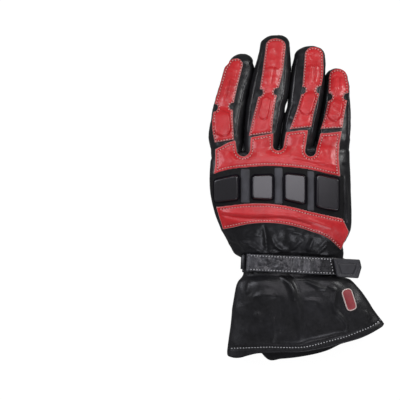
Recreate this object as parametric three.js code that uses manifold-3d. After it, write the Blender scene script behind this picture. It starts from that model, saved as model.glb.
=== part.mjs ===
// A leather motorcycle glove for the right hand, lying on its palm with the thumb folded under it.
// Millimetres. +Z is up, +Y runs from the cuff to the fingertips, +X from the thumb side to the little finger.
// The origin is on the ground, under the middle of the glove's box.
import * as THREE from "three";
import { mergeVertices } from "three/addons/utils/BufferGeometryUtils.js";
import Module from "manifold-3d";

const solidLibrary = await Module();
solidLibrary.setup();

// Driving dimensions
const WALL = 2.4; // leather with its padded lining
const GAP = 0.3; // clearance between two pieces that are sewn face to face
const PANEL_THICKNESS = 1.9; // red leather over thin foam
const PANEL_SEAT = 0.75; // a finger panel's underside above the finger, clear of both faceted surfaces
const BAND_THICKNESS = 1.3; // black leather under the knuckle pads
const PAD_HEIGHT = 4.2; // moulded knuckle pads, above their band
const NOTCH_RADIUS = 4.1; // bites in a finger panel's sides, over the middle joint
const FINGER_PAD_RISE = 1.7; // moulded pads, above the rest of a finger panel
const STRAP_WIDTH = 15;
const STRAP_THICKNESS = 1.5;
const TAB_THICKNESS = 2.6;
const PATCH_THICKNESS = 1.1;
const ROUND_SQUARE = 2.3; // squareness of the fingers' and strap's sections
const HIGH = 90; // above and beside everything, for cutters

// Materials
const paint = (color, roughness) =>
  new THREE.MeshStandardMaterial({ color, roughness, metalness: 0 });
const blackLeather = paint("#232326", 0.42);
const redLeather = paint("#bf3338", 0.45);
const padLeather = paint("#4b4a4f", 0.5);
const tabRubber = paint("#38383c", 0.6);
const ringPlastic = paint("#1b1b1d", 0.35);
const patchRubber = paint("#b8383c", 0.55);

// Fingers, from the root to where the round tip starts: middle of each section and its half sizes.
const FINGERS = {
  index: {
    tip: 8.6,
    sections: [
      { y: 30, x: -62, z: 35.4, halfWidth: 14.4, halfHeight: 12.4 },
      { y: 46, x: -64.6, z: 33.4, halfWidth: 15.3, halfHeight: 13.6 },
      { y: 62, x: -65, z: 31.2, halfWidth: 15.6, halfHeight: 13.9 },
      { y: 80, x: -62.7, z: 26.4, halfWidth: 14.9, halfHeight: 13.6 },
      { y: 99, x: -58.7, z: 20, halfWidth: 14.1, halfHeight: 13.2 },
      { y: 115, x: -54.6, z: 14.4, halfWidth: 13.7, halfHeight: 12.6 },
      { y: 123.8, x: -52, z: 11.4, halfWidth: 12.2, halfHeight: 11.8 },
    ],
    // Red panel: its middle line and half width, with a round notch each side over the middle joint.
    panel: [
      { y: 49.6, x: -67, half: 8.2 },
      { y: 65.6, x: -68.2, half: 9.3 },
      { y: 82, x: -67.4, half: 8.7 },
      { y: 101, x: -63.4, half: 8.5 },
      { y: 121, x: -57.8, half: 7.6 },
    ],
    panelTip: 128.2,
    baseSlant: 0.3,
    notchY: 82.4,
    nearPad: { from: 56, to: 76.5, half: 5.6 },
    farPad: { from: 87.5, to: 108, half: 5.2 },
  },
  middle: {
    tip: 9.4,
    sections: [
      { y: 32, x: -33.5, z: 35.6, halfWidth: 15.2, halfHeight: 13.4 },
      { y: 48, x: -32.8, z: 34.6, halfWidth: 16.6, halfHeight: 13.9 },
      { y: 64, x: -31.2, z: 33, halfWidth: 17.2, halfHeight: 14.2 },
      { y: 82, x: -29, z: 29.4, halfWidth: 17.9, halfHeight: 14 },
      { y: 100, x: -25.5, z: 24.4, halfWidth: 17.9, halfHeight: 13.6 },
      { y: 118, x: -22.2, z: 18.6, halfWidth: 16.6, halfHeight: 13.2 },
      { y: 132, x: -20.2, z: 14.4, halfWidth: 14.6, halfHeight: 12.4 },
      { y: 140.6, x: -19.2, z: 11.1, halfWidth: 12.8, halfHeight: 11.6 },
    ],
    panel: [
      { y: 58.8, x: -33.2, half: 10.3 },
      { y: 76, x: -30.6, half: 9.2 },
      { y: 96, x: -26.3, half: 8.5 },
      { y: 112, x: -23, half: 9.2 },
      { y: 138, x: -19.4, half: 9 },
    ],
    panelTip: 146.2,
    baseSlant: 0.14,
    notchY: 96,
    nearPad: { from: 70, to: 90.5, half: 4.6 },
    farPad: { from: 101, to: 119, half: 5.8 },
  },
  ring: {
    tip: 9.2,
    sections: [
      { y: 34, x: -1.8, z: 34.4, halfWidth: 14.8, halfHeight: 13.2 },
      { y: 48, x: 0.5, z: 34, halfWidth: 16.1, halfHeight: 13.6 },
      { y: 64, x: 3, z: 32.2, halfWidth: 15.9, halfHeight: 13.8 },
      { y: 82, x: 7, z: 28, halfWidth: 15.6, halfHeight: 13.6 },
      { y: 99, x: 9.6, z: 22.6, halfWidth: 15.7, halfHeight: 13.2 },
      { y: 113, x: 10.9, z: 17.6, halfWidth: 15.5, halfHeight: 12.8 },
      { y: 124, x: 12.2, z: 13.8, halfWidth: 14.4, halfHeight: 12.2 },
      { y: 130.5, x: 12.4, z: 11, halfWidth: 13, halfHeight: 11.5 },
    ],
    panel: [
      { y: 63.6, x: 3.4, half: 9.9 },
      { y: 77, x: 7.2, half: 8.4 },
      { y: 98, x: 13, half: 8.4 },
      { y: 113, x: 15.1, half: 8.9 },
      { y: 130, x: 15.8, half: 8.3 },
    ],
    panelTip: 138.2,
    baseSlant: 0.11,
    notchY: 98,
    nearPad: { from: 73.5, to: 93, half: 4.3 },
    farPad: { from: 103, to: 119, half: 5.8 },
  },
  little: {
    tip: 8.4,
    sections: [
      { y: 36, x: 32.2, z: 34, halfWidth: 14, halfHeight: 12 },
      { y: 50, x: 33.4, z: 32, halfWidth: 15.7, halfHeight: 12.9 },
      { y: 64, x: 34.6, z: 28.8, halfWidth: 15, halfHeight: 12.9 },
      { y: 80, x: 36.2, z: 24, halfWidth: 13.4, halfHeight: 12.5 },
      { y: 94, x: 36.8, z: 18.6, halfWidth: 12.1, halfHeight: 12 },
      { y: 104, x: 37, z: 14.2, halfWidth: 11.4, halfHeight: 11.3 },
      { y: 110.4, x: 36.6, z: 10.4, halfWidth: 10.6, halfHeight: 10.8 },
    ],
    panel: [
      { y: 63.2, x: 32.3, half: 9.8 },
      { y: 76.5, x: 35.3, half: 8.7 },
      { y: 92, x: 38.1, half: 8.6 },
      { y: 101, x: 38.6, half: 8.8 },
      { y: 111, x: 38, half: 7.9 },
    ],
    panelTip: 117.8,
    baseSlant: 0.06,
    notchY: 92.2,
    nearPad: { from: 69, to: 87, half: 4.5 },
    farPad: { from: 96.5, to: 108, half: 4.8 },
  },
};

// The thumb leaves the palm's underside and lies flat on the ground under the palm.
const THUMB = {
  tip: 8.6,
  sections: [
    { y: -36, x: -45, z: 25, halfWidth: 13.5, halfHeight: 11 },
    { y: -22, x: -45.5, z: 17, halfWidth: 14.6, halfHeight: 12 },
    { y: -6, x: -43, z: 11, halfWidth: 14.8, halfHeight: 11 },
    { y: 10, x: -38.5, z: 9.2, halfWidth: 14.2, halfHeight: 9.8 },
    { y: 26, x: -33.5, z: 9, halfWidth: 13.6, halfHeight: 9.6 },
    { y: 37, x: -30.5, z: 9, halfWidth: 12.4, halfHeight: 9.5 },
  ],
};

// The hand from the wrist to the knuckles: the outline seen from above and the side, the depth of the gathers,
// and how square the section is, where 2 is an ellipse.
const HAND = [
  { y: -64, left: -49.4, right: 41.4, bottom: 3.6, top: 32.6, gather: 0.2, square: 2.3 },
  { y: -53, left: -49.8, right: 41, bottom: 3.8, top: 32.6, gather: 0.2, square: 2.3 },
  { y: -46.5, left: -58.8, right: 41.6, bottom: 5.8, top: 39, gather: 1.7, square: 2.3 },
  { y: -39, left: -64.8, right: 45.2, bottom: 8.8, top: 44.8, gather: 1.1, square: 2.3 },
  { y: -28, left: -70.6, right: 50, bottom: 13, top: 49.4, gather: 0.3, square: 2.35 },
  { y: -16, left: -75.2, right: 50.8, bottom: 16.6, top: 52.4, gather: 0, square: 2.4 },
  { y: 0, left: -78.8, right: 50.2, bottom: 19.4, top: 54.4, gather: 0, square: 2.6 },
  { y: 16, left: -80.4, right: 49.8, bottom: 20.4, top: 54.6, gather: 0, square: 2.8 },
  { y: 28, left: -80.2, right: 49.2, bottom: 20.6, top: 53.4, gather: 0, square: 3 },
  { y: 37, left: -79.6, right: 49, bottom: 20.6, top: 51.4, gather: 0, square: 3 },
];
const HAND_STATIONS = 10;
const HAND_SIDES = 26;
const KNUCKLE_ROUND = 9; // how far the front end rounds over into the fingers
const KNUCKLE_ANGLES = [30, 60, 82].map(THREE.MathUtils.degToRad);
// The knuckle line runs forward towards the little finger, more so from this y on.
const KNUCKLE_SKEW = { slope: 0.07, from: -20 };
// The back's crest lies towards the index finger, and comes to the middle at the wrist.
const BACK_LEAN = { shift: -5, from: -50, to: -10 };

// The cuff from the wrist to its hem: its two side edges, its height, and how far the hem bows outwards.
const CUFF = [
  { leftY: -64, left: -49.4, rightY: -64, right: 41.4, bottom: 3.6, top: 32.6, bow: 0, gather: 0.2, square: 2.3 },
  { leftY: -72, left: -49.6, rightY: -72.5, right: 42, bottom: 3, top: 32.6, bow: 0, gather: 0.2, square: 2.3 },
  { leftY: -79, left: -54.4, rightY: -77, right: 50.6, bottom: 1.2, top: 36, bow: -1, gather: 1.6, square: 2.3 },
  { leftY: -90, left: -57.6, rightY: -86, right: 58.6, bottom: -0.6, top: 36, bow: -2.5, gather: 1.1, square: 2.3 },
  { leftY: -106, left: -60, rightY: -97, right: 66.6, bottom: -1.2, top: 34, bow: -5.5, gather: 0.5, square: 2.3 },
  { leftY: -124, left: -62.4, rightY: -108, right: 74.2, bottom: -1.4, top: 31, bow: -9, gather: 0.2, square: 2.3 },
  { leftY: -142, left: -65, rightY: -118, right: 81, bottom: -1.4, top: 27.5, bow: -13, gather: 0, square: 2.3 },
];
const CUFF_STATIONS = 9;
const CUFF_SIDES = { back: 20, palm: 12 };
// Gathers round the wrist: waves all round, how unevenly they are spread, and how much of them shows in the width.
const GATHER = { waves: 6, drift: 0.7, sideShare: 0.4 };
// How the hem waves along its edge. Right of a step, its palm side reaches further than its back.
const HEM_WAVE = [
  { x: -65, back: -4.5, palm: -4.5 },
  { x: -59, back: -4.6, palm: -4.6 },
  { x: -53, back: -3.1, palm: -3.1 },
  { x: -46, back: -0.2, palm: -0.2 },
  { x: -38, back: 2.3, palm: 2.3 },
  { x: -33, back: 2.9, palm: 2.9 },
  { x: -29, back: 3.1, palm: -1.8 },
  { x: -24, back: 2.9, palm: -2.9 },
  { x: -14, back: 2.3, palm: -3.4 },
  { x: 3, back: 0, palm: -4 },
  { x: 27, back: 0, palm: -2.7 },
  { x: 45, back: 0.6, palm: 1 },
  { x: 56, back: 0, palm: 0 },
  { x: 81, back: 0, palm: 0 },
];
const HEM_SQUARE = 3; // how straight the hem is before it bends at the side edges

// Soft folds on the back of the cuff and wrist: a line from one end to the other, its height and half breadth.
const FOLD_FADE = 0.7; // how soon the folds rise from the side edges
const FOLDS = [
  { fromX: -14, fromY: -80, toX: -5, toY: -94, height: 2.6, breadth: 5 },
  { fromX: -3, fromY: -82, toX: 7, toY: -122, height: -3.6, breadth: 5.5 },
  { fromX: 8, fromY: -84, toX: 16, toY: -118, height: 2.2, breadth: 6 },
  { fromX: 14, fromY: -81, toX: 30, toY: -88, height: 1.8, breadth: 4.5 },
  { fromX: -38, fromY: -88, toX: -22, toY: -98, height: 2.8, breadth: 10 },
  { fromX: -24, fromY: -110, toX: -22, toY: -124, height: -2.4, breadth: 6 },
  { fromX: -44, fromY: -112, toX: -40, toY: -128, height: 1.6, breadth: 8 },
  { fromX: 35, fromY: -90, toX: 42, toY: -116, height: 2.2, breadth: 6 },
  { fromX: -50, fromY: -40, toX: -34, toY: -47, height: 1.8, breadth: 3.5 },
  { fromX: -27, fromY: -34, toX: -26, toY: -48, height: -1.6, breadth: 3.5 },
  { fromX: 10, fromY: -36, toX: -2, toY: -47, height: 1.5, breadth: 4 },
  { fromX: 28, fromY: -43, toX: 22, toY: -49, height: 1.6, breadth: 3.5 },
];

// Seams across the back, at each x: the knuckle panel's rear edge, the wrist panel's front edge and rear edge.
const SEAMS = [
  { x: -84, knuckle: 18.6, band: -10.2, wrist: -32.4 },
  { x: -76.5, knuckle: 20.9, band: -9, wrist: -31.2 },
  { x: -61.7, knuckle: 24.9, band: -7.3, wrist: -28.5 },
  { x: -43.2, knuckle: 27, band: -5.6, wrist: -24.8 },
  { x: -24.7, knuckle: 28, band: -5.9, wrist: -23.9 },
  { x: -6.2, knuckle: 27, band: -8.4, wrist: -26.2 },
  { x: 12.2, knuckle: 24.9, band: -13, wrist: -31.5 },
  { x: 30.7, knuckle: 20.5, band: -17.1, wrist: -39.3 },
  { x: 40.4, knuckle: 18.9, band: -19.2, wrist: -48.6 },
  { x: 50, knuckle: 17, band: -21.5, wrist: -58 },
];
const BAND = { left: -80, right: 43.2 };
// The knuckle panel's front edge over the four finger roots.
const KNUCKLE_FRONT = [
  { x: -75.3, y: 43.2 },
  { x: -69, y: 46.2 },
  { x: -60.8, y: 51 },
  { x: -43, y: 54.2 },
  { x: -22, y: 58.2 },
  { x: -9, y: 59.8 },
  { x: 10.4, y: 61.8 },
  { x: 22.4, y: 58.2 },
  { x: 41.8, y: 60 },
];
const KNUCKLE_RIGHT = [
  { x: 39.6, y: 49 },
  { x: 38.9, y: 36 },
  { x: 39.4, y: 27 },
];
// Round-ended notches of the knuckle panel between the fingers: middle of the round end, its radius, and how much
// the notch leans and widens for each millimetre of its length.
const NOTCH_LENGTH = 24;
const NOTCHES = [
  { x: -49.4, y: 43.6, radius: 6.1, lean: -0.04, flare: 0.1 },
  { x: -17, y: 47.6, radius: 4.9, lean: 0.1, flare: 0.08 },
  { x: 12.8, y: 42.4, radius: 5, lean: 0.2, flare: 0.06 },
];
// Knuckle pads: outline seen from above.
const PADS = [
  { left: -73, right: -52.6, front: 19.6, rear: -2.6 },
  { left: -42, right: -22, front: 21.8, rear: -1.3 },
  { left: -12.4, right: 8.4, front: 22, rear: -4.4 },
  { left: 16.6, right: 38, front: 19.8, rear: -12 },
];
const PAD_CORNER = 3;
const PAD_BEVEL = 1.5;
const PAD_FOOT = 0.6; // of the height, below the bevel
const WRIST_PANEL_LEFT = [
  { x: -74.2, y: -9.3 },
  { x: -72.2, y: -16 },
  { x: -67.7, y: -30 },
];
const WRIST_PANEL_RIGHT = [
  { x: 40.2, y: -49 },
  { x: 44.4, y: -40 },
  { x: 47.6, y: -32.4 },
  { x: 45.6, y: -27 },
  { x: 42.3, y: -20.2 },
];

// The wrist strap's path over the back of the wrist: an arch, folded round the ring's bar on the thumb side.
const STRAP_EASE = 2.4; // between the wrist's middle surface and the strap
const STRAP_Y = -62.6; // at x = 0
const STRAP_TURN = THREE.MathUtils.degToRad(-2.6);
const STRAP_ANCHOR = THREE.MathUtils.degToRad(14); // sewn end, low on the little finger's side
const STRAP_END = THREE.MathUtils.degToRad(47); // loose end, at the tab
const STRAP_FOLD = THREE.MathUtils.degToRad(139); // round the ring's bar
const STRAP_STEPS = 12;
const STRAP_OPENING = 3.1; // between the two layers, at the ring
const STRAP_SPREAD = THREE.MathUtils.degToRad(24); // over which the two layers part towards the ring

// The ring's bar, its outer length, and how far it reaches from the strap's fold to the keeper.
const RING = { bar: 1.6, length: 18.8, reach: 7, corner: 0.6 };
const RING_LEAN = THREE.MathUtils.degToRad(30); // how much further round the wrist the ring's outer bar lies

// The keeper's loop round the outer bar, and its two legs that close up down the side of the wrist.
const KEEPER = { thickness: 1.2, loop: 1.2, sink: 0.2, drop: 4.6, lean: 0.9, between: 0.3, narrower: 2 };

// The pull tab's outline and recess, from the strap's end outwards and across it.
const TAB = { corner: 1.8, recess: 0.8, recessCorner: 1.6, offset: -1.4, clear: 2.5, lift: 0.4 };
const TAB_TILT = THREE.MathUtils.degToRad(12);
const TAB_OUTLINE = [
  { along: 2.2, across: -8.2 },
  { along: 22.6, across: -8.7 },
  { along: 25.2, across: 1.6 },
  { along: 23.2, across: 8.8 },
  { along: -2.2, across: 8.8 },
];
const TAB_RECESS = [
  { along: 6, across: -5.2 },
  { along: 17.4, across: -5.4 },
  { along: 20, across: 0.4 },
  { along: 20, across: 5.2 },
  { along: 2.6, across: 5.2 },
  { along: 3.4, across: 2.4 },
];

// A small plain patch on the cuff.
const PATCH = { x: 48.5, y: -95, width: 10, length: 21, turn: 18, roundness: 0.45 };

// Geometry helpers

function smoothRow(rows, place) {
  const start = Math.min(Math.floor(place), rows.length - 2);
  const t = place - start;
  const row = (k) => rows[THREE.MathUtils.clamp(start + k, 0, rows.length - 1)];
  const blend = (a, b, c, d) =>
    b + 0.5 * t * (c - a + t * (2 * a - 5 * b + 4 * c - d + t * (3 * (b - c) + d - a)));
  return Object.fromEntries(
    Object.keys(rows[0]).map((key) => [key, blend(row(-1)[key], row(0)[key], row(1)[key], row(2)[key])]),
  );
}

function smoothRows(rows, count) {
  return Array.from({ length: count }, (_, k) => smoothRow(rows, (k / (count - 1)) * (rows.length - 1)));
}

// The row where the rows' rising y column, or another named one, has the given value.
function rowAt(rows, value, key = "y") {
  const after = rows.findIndex((row) => row[key] > value);
  const k = after < 0 ? rows.length - 1 : Math.max(after, 1);
  const share = (value - rows[k - 1][key]) / (rows[k][key] - rows[k - 1][key]);
  return smoothRow(rows, k - 1 + THREE.MathUtils.clamp(share, 0, 1));
}

// A point of an oval section, where a square of 2 is an ellipse and more is squarer.
function oval(angle, halfWidth, halfHeight, square = ROUND_SQUARE) {
  const bend = (value) => Math.sign(value) * Math.abs(value) ** (2 / square);
  return [halfWidth * bend(Math.cos(angle)), halfHeight * bend(Math.sin(angle))];
}

// The angle at which the upper half of an oval has the given share of its half width.
function angleAt(share) {
  const inside = THREE.MathUtils.clamp(share, -0.94, 0.94);
  return Math.acos(Math.sign(inside) * Math.abs(inside) ** (ROUND_SQUARE / 2));
}

function toSolid(geometry) {
  const bare = geometry.clone();
  bare.deleteAttribute("normal");
  bare.deleteAttribute("uv");
  const merged = mergeVertices(bare, 1e-4);
  return new solidLibrary.Manifold(
    new solidLibrary.Mesh({
      numProp: 3,
      vertProperties: merged.attributes.position.array,
      triVerts: new Uint32Array(merged.index.array),
    }),
  );
}

function toMesh(name, solid, material) {
  const { vertProperties, triVerts } = solid.getMesh();
  const geometry = new THREE.BufferGeometry();
  geometry.setAttribute("position", new THREE.BufferAttribute(vertProperties, 3));
  geometry.setIndex(new THREE.BufferAttribute(triVerts, 1));
  const mesh = new THREE.Mesh(geometry, material);
  mesh.name = name;
  return mesh;
}

// A closed body through rings of points, each ring with the same number of points. The ends are fans round
// their middle, or for a thin bent section strips between its two long sides.
function loft(rings, thin = false) {
  const sides = rings[0].length;
  const points = rings.flat();
  const index = [];
  rings.slice(1).forEach((_, k) => {
    for (let i = 0; i < sides; i++) {
      const a = k * sides + i;
      const b = k * sides + ((i + 1) % sides);
      index.push(a, a + sides, b, b, a + sides, b + sides);
    }
  });
  [0, rings.length - 1].forEach((k) => {
    const add = (a, b, c) => index.push(...(k ? [a, c, b] : [a, b, c]));
    const corner = (i) => k * sides + i;
    if (thin) {
      for (let i = 0; i < sides / 2 - 1; i++) {
        add(corner(i), corner(i + 1), corner(sides - 1 - i));
        add(corner(i + 1), corner(sides - 2 - i), corner(sides - 1 - i));
      }
      return;
    }
    const middle = rings[k].reduce((sum, p) => sum.add(p), new THREE.Vector3()).divideScalar(sides);
    const centre = points.push(middle) - 1;
    for (let i = 0; i < sides; i++) add(centre, corner(i), corner((i + 1) % sides));
  });
  const geometry = new THREE.BufferGeometry().setFromPoints(points);
  geometry.setIndex(index);
  return toSolid(geometry);
}

// An upright prism over an outline seen from above.
function prism(outline, bottom = -HIGH, top = HIGH) {
  const shape = outline instanceof THREE.Shape ? outline : new THREE.Shape(outline);
  const body = new THREE.ExtrudeGeometry(shape, { depth: top - bottom, bevelEnabled: false, curveSegments: 2 });
  return toSolid(body.translate(0, 0, bottom));
}

function rectangle(left, right, rear, front, bottom, top) {
  const corners = [
    new THREE.Vector2(left, rear),
    new THREE.Vector2(right, rear),
    new THREE.Vector2(right, front),
    new THREE.Vector2(left, front),
  ];
  return prism(corners, bottom, top);
}

// A polygon with each corner rounded off.
function roundedOutline(corners, radius) {
  const shape = new THREE.Shape();
  corners.forEach((corner, k) => {
    const before = corners[(k + corners.length - 1) % corners.length];
    const after = corners[(k + 1) % corners.length];
    const towards = (other) => {
      const step = other.clone().sub(corner);
      return corner.clone().add(step.setLength(Math.min(radius, step.length() / 2)));
    };
    const [start, end] = [towards(before), towards(after)];
    if (k) shape.lineTo(start.x, start.y);
    else shape.moveTo(start.x, start.y);
    shape.quadraticCurveTo(corner.x, corner.y, end.x, end.y);
  });
  shape.closePath();
  return shape;
}

// Forms. Each takes how far it is grown outwards, and a hollow is a form grown by minus the wall.

const TIP_ANGLES = [32, 60, 80].map(THREE.MathUtils.degToRad);
const TIP_DROP = 0.12; // how much a tip's middle sinks towards its end
const FINGER_STATIONS = 6;
const FINGER_SIDES = 14;
const THUMB_SIDES = 12;

// A finger's section at y, which past the last section rounds over to the end of the tip.
function fingerRow({ sections, tip }, y, grow) {
  const row = rowAt(sections, y);
  const end = sections.at(-1);
  const before = sections.at(-2);
  const past = Math.max(0, y - end.y);
  const shrink = Math.sqrt(Math.max(0, 1 - (past / (tip + grow)) ** 2));
  return {
    x: row.x + (past * (end.x - before.x)) / (end.y - before.y),
    z: row.z - past * TIP_DROP,
    halfWidth: (row.halfWidth + grow) * shrink,
    halfHeight: (row.halfHeight + grow) * shrink,
  };
}

function fingerPoint(finger, y, angle, grow) {
  const { x, z, halfWidth, halfHeight } = fingerRow(finger, y, grow);
  const [beside, up] = oval(angle, halfWidth, halfHeight);
  return new THREE.Vector3(x + beside, y, Math.max(z + up, -grow));
}

// Where a finger's rings lie along it.
function ringPlaces({ sections, tip }, grow = 0, stations = FINGER_STATIONS) {
  const start = sections[0].y;
  const end = sections.at(-1).y;
  const straight = Array.from({ length: stations }, (_, k) =>
    THREE.MathUtils.lerp(start, end, k / (stations - 1)),
  );
  return [...straight, ...TIP_ANGLES.map((angle) => end + (tip + grow) * Math.sin(angle))];
}

function tube(finger, grow, stations = FINGER_STATIONS, sides = FINGER_SIDES) {
  return loft(
    ringPlaces(finger, grow, stations).map((y) => ringOf(sides, (angle) => fingerPoint(finger, y, angle, grow))),
  );
}

// Height that the soft folds add to the back at a point seen from above.
function foldHeight(x, y) {
  return FOLDS.reduce((sum, fold) => {
    const start = new THREE.Vector2(fold.fromX, fold.fromY);
    const along = new THREE.Vector2(fold.toX, fold.toY).sub(start);
    const away = new THREE.Vector2(x, y).sub(start);
    const share = THREE.MathUtils.clamp(away.dot(along) / along.lengthSq(), 0, 1);
    const distance = away.addScaledVector(along, -share).length();
    return sum + fold.height * Math.exp(-((distance / fold.breadth) ** 2));
  }, 0);
}

// One point of a wide flat section, with the gathers all round and the folds on its back.
function backPoint(turn, row, grow, lean, yOf) {
  const ripple = row.gather * Math.cos(GATHER.waves * turn + GATHER.drift * Math.sin(2 * turn));
  const halfWidth = (row.right - row.left) / 2 + grow + ripple * GATHER.sideShare;
  const halfHeight = (row.top - row.bottom) / 2 + grow + ripple;
  const [beside, up] = oval(turn, halfWidth, halfHeight, row.square);
  const x = (row.left + row.right) / 2 + beside + lean * Math.max(0, Math.sin(turn));
  const y = yOf(x, turn);
  const lift = foldHeight(x, y) * Math.max(0, Math.sin(turn)) ** FOLD_FADE;
  return new THREE.Vector3(x, y, Math.max((row.top + row.bottom) / 2 + up + lift, -grow));
}

function ringOf(sides, pointAt) {
  return Array.from({ length: sides }, (_, i) => pointAt(((i + 0.5) / sides) * 2 * Math.PI));
}

// A ring with its points spread more evenly over a wide back, to carry the folds.
function wideRing({ back, palm }, pointAt) {
  const backAngles = Array.from({ length: back }, (_, i) => {
    const share = (i + 0.5) / back;
    return (angleAt(1 - 2 * share) + share * Math.PI) / 2;
  });
  const palmAngles = Array.from({ length: palm }, (_, i) => Math.PI * (1 + (i + 0.5) / palm));
  return [...backAngles, ...palmAngles].map(pointAt);
}

function hand(grow, endY = HAND[0].y) {
  const rows = smoothRows(HAND, HAND_STATIONS);
  const front = HAND.at(-1);
  const ring = (row, y, growth) => {
    const skew = KNUCKLE_SKEW.slope * THREE.MathUtils.smoothstep(y, KNUCKLE_SKEW.from, front.y);
    const lean = BACK_LEAN.shift * THREE.MathUtils.smoothstep(y, BACK_LEAN.from, BACK_LEAN.to);
    return ringOf(HAND_SIDES, (turn) => backPoint(turn, row, growth, lean, (x) => y + skew * x));
  };
  const rings = rows.map((row, k) => ring(row, k ? row.y : endY, grow));
  KNUCKLE_ANGLES.forEach((angle) => {
    const inset = KNUCKLE_ROUND * (1 - Math.cos(angle));
    rings.push(ring(front, front.y + (KNUCKLE_ROUND + grow) * Math.sin(angle), grow - inset));
  });
  return loft(rings);
}

function cuff(grow, hemGrow = 0) {
  const rows = smoothRows(CUFF, CUFF_STATIONS).reverse();
  const rings = rows.map((row, k) => {
    const hemShare = THREE.MathUtils.smoothstep(rows.length - k, rows.length - 3, rows.length);
    const yOf = (x, turn) => {
      const share = THREE.MathUtils.clamp((x - row.left) / (row.right - row.left), 0, 1);
      const side = THREE.MathUtils.lerp(row.leftY, row.rightY, share);
      const bow = row.bow * (1 - Math.abs(2 * share - 1) ** HEM_SQUARE);
      const { back, palm } = rowAt(HEM_WAVE, x, "x");
      const wave = (turn > Math.PI ? palm : back) * hemShare;
      return side + bow + wave - (k ? 0 : hemGrow);
    };
    return wideRing(CUFF_SIDES, (turn) => backPoint(turn, row, grow, 0, yOf));
  });
  return loft(rings);
}

// Everything that the hand goes into, as one body. It runs out past the cuff's hem.
const INNER_STATIONS = 5;
const INNER_SIDES = 10;
const fingerNames = Object.keys(FINGERS);
const hollow = solidLibrary.Manifold.union([
  hand(-WALL, HAND[0].y - 1),
  cuff(-WALL, 6),
  tube(THUMB, -WALL, INNER_STATIONS, INNER_SIDES),
  ...fingerNames.map((name) => tube(FINGERS[name], -WALL, INNER_STATIONS, INNER_SIDES)),
]);

// Leather pieces of the glove's skin

function makeSkin() {
  const handGrown = hand(GAP);
  const wristJoint = rectangle(-HIGH, HIGH, CUFF[0].leftY - GAP, 0);
  const pieces = { hand_shell: hand(0).subtract(hollow), cuff: cuff(0).subtract(hollow).subtract(wristJoint) };
  let taken = handGrown;
  fingerNames.forEach((name) => {
    pieces[`finger_${name}`] = tube(FINGERS[name], 0).subtract(hollow).subtract(taken);
    taken = taken.add(tube(FINGERS[name], GAP));
  });
  pieces.thumb = tube(THUMB, 0, FINGER_STATIONS, THUMB_SIDES).subtract(hollow).subtract(handGrown);
  return Object.entries(pieces).map(([name, solid]) => toMesh(name, largest(solid), blackLeather));
}

// The biggest of the separate bodies that a cut leaves.
function largest(solid) {
  return solid.decompose().reduce((best, body) => (body.volume() > best.volume() ? body : best));
}

// Panels sewn on the back. A panel is the part of a grown form's skin that lies under its outline.

const backOf = (grow) =>
  solidLibrary.Manifold.union([hand(grow), ...fingerNames.map((name) => tube(FINGERS[name], grow))]);

// The space above the hand's middle height, which has one height at each y, and on over the finger roots.
function aboveHand() {
  const end = HAND.at(-1);
  const rows = [...HAND, { ...end, y: end.y + HIGH / 2 }];
  return loft(
    rows.map(({ y, bottom, top }) => {
      const z = (bottom + top) / 2 - 1;
      return [[-HIGH, z], [HIGH, z], [HIGH, HIGH], [-HIGH, HIGH]].map(([x, up]) => new THREE.Vector3(x, y, up));
    }),
  );
}

const upperHalf = aboveHand();
const cuffTop = rectangle(-HIGH, HIGH, -2 * HIGH, 0, CUFF.at(-1).top / 2, HIGH);

const ROUND_SHARE = 0.9; // a strip's round end, as a share of its half width
const ROUND_STEPS = [0, 0.12, 0.42, 1]; // sections of a round end, as shares of its length
const ROUND_AFTER = 1.9; // one more section behind a panel's tip
const ROUND_BLUNT = 0.86; // where the round end is cut off straight

// A padded strip along a finger's back, from rear to front, as wide as the panel's table says or as its limit.
// Its facets follow the finger's, so that it lies on them.
function fingerStrip(finger, { rear, front, inner, outer, limit, slant = 0, columns = 3 }) {
  const rounding = ROUND_SHARE * (limit ?? finger.panel.at(-1).half);
  const places = [
    ...(limit ? ROUND_STEPS : [0]).map((share) => rear + share * rounding),
    ...ringPlaces(finger).filter((y) => y > rear + rounding / 2 && y < front - GAP),
    ...(limit ? ROUND_STEPS : [...ROUND_STEPS, ROUND_AFTER]).map((share) => front - share * rounding),
  ].sort((a, b) => a - b);
  const rings = places.map((middleY) => {
    const { x, half } = rowAt(finger.panel, middleY);
    const ends = [front - middleY, limit ? middleY - rear : rounding].map((reach) =>
      THREE.MathUtils.clamp(1 - reach / rounding, 0, ROUND_BLUNT),
    );
    const wide = Math.min(half, limit ?? half) * Math.sqrt(1 - Math.max(...ends) ** 2);
    const line = (grow) =>
      Array.from({ length: columns + 1 }, (_, j) => {
        const side = 1 - (2 * j) / columns;
        const y = middleY + (slant * side * half * (front - middleY)) / (front - rear);
        const row = fingerRow(finger, y, inner);
        return fingerPoint(finger, y, angleAt((x + side * wide - row.x) / row.halfWidth), grow);
      });
    return [...line(outer), ...line(inner).reverse()];
  });
  return loft(rings, true);
}

function fingerPanel(name) {
  const finger = FINGERS[name];
  const top = GAP + PANEL_THICKNESS;
  let panel = fingerStrip(finger, {
    rear: finger.panel[0].y,
    front: finger.panelTip,
    inner: PANEL_SEAT,
    outer: top,
    slant: finger.baseSlant,
  });
  const { x, half } = rowAt(finger.panel, finger.notchY);
  [x - half, x + half].forEach((edge) => {
    const bite = new THREE.CylinderGeometry(NOTCH_RADIUS, NOTCH_RADIUS, 2 * HIGH, 8).rotateX(Math.PI / 2);
    panel = panel.subtract(toSolid(bite.translate(edge, finger.notchY, 0)));
  });
  const pads = [finger.nearPad, finger.farPad].map((pad) =>
    fingerStrip(finger, {
      rear: pad.from,
      front: pad.to,
      inner: PANEL_SEAT + PANEL_THICKNESS / 2,
      outer: top + FINGER_PAD_RISE,
      limit: pad.half,
      columns: 2,
    }),
  );
  return panel.add(solidLibrary.Manifold.union(pads));
}

const SEAM_STEPS = 9;

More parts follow.
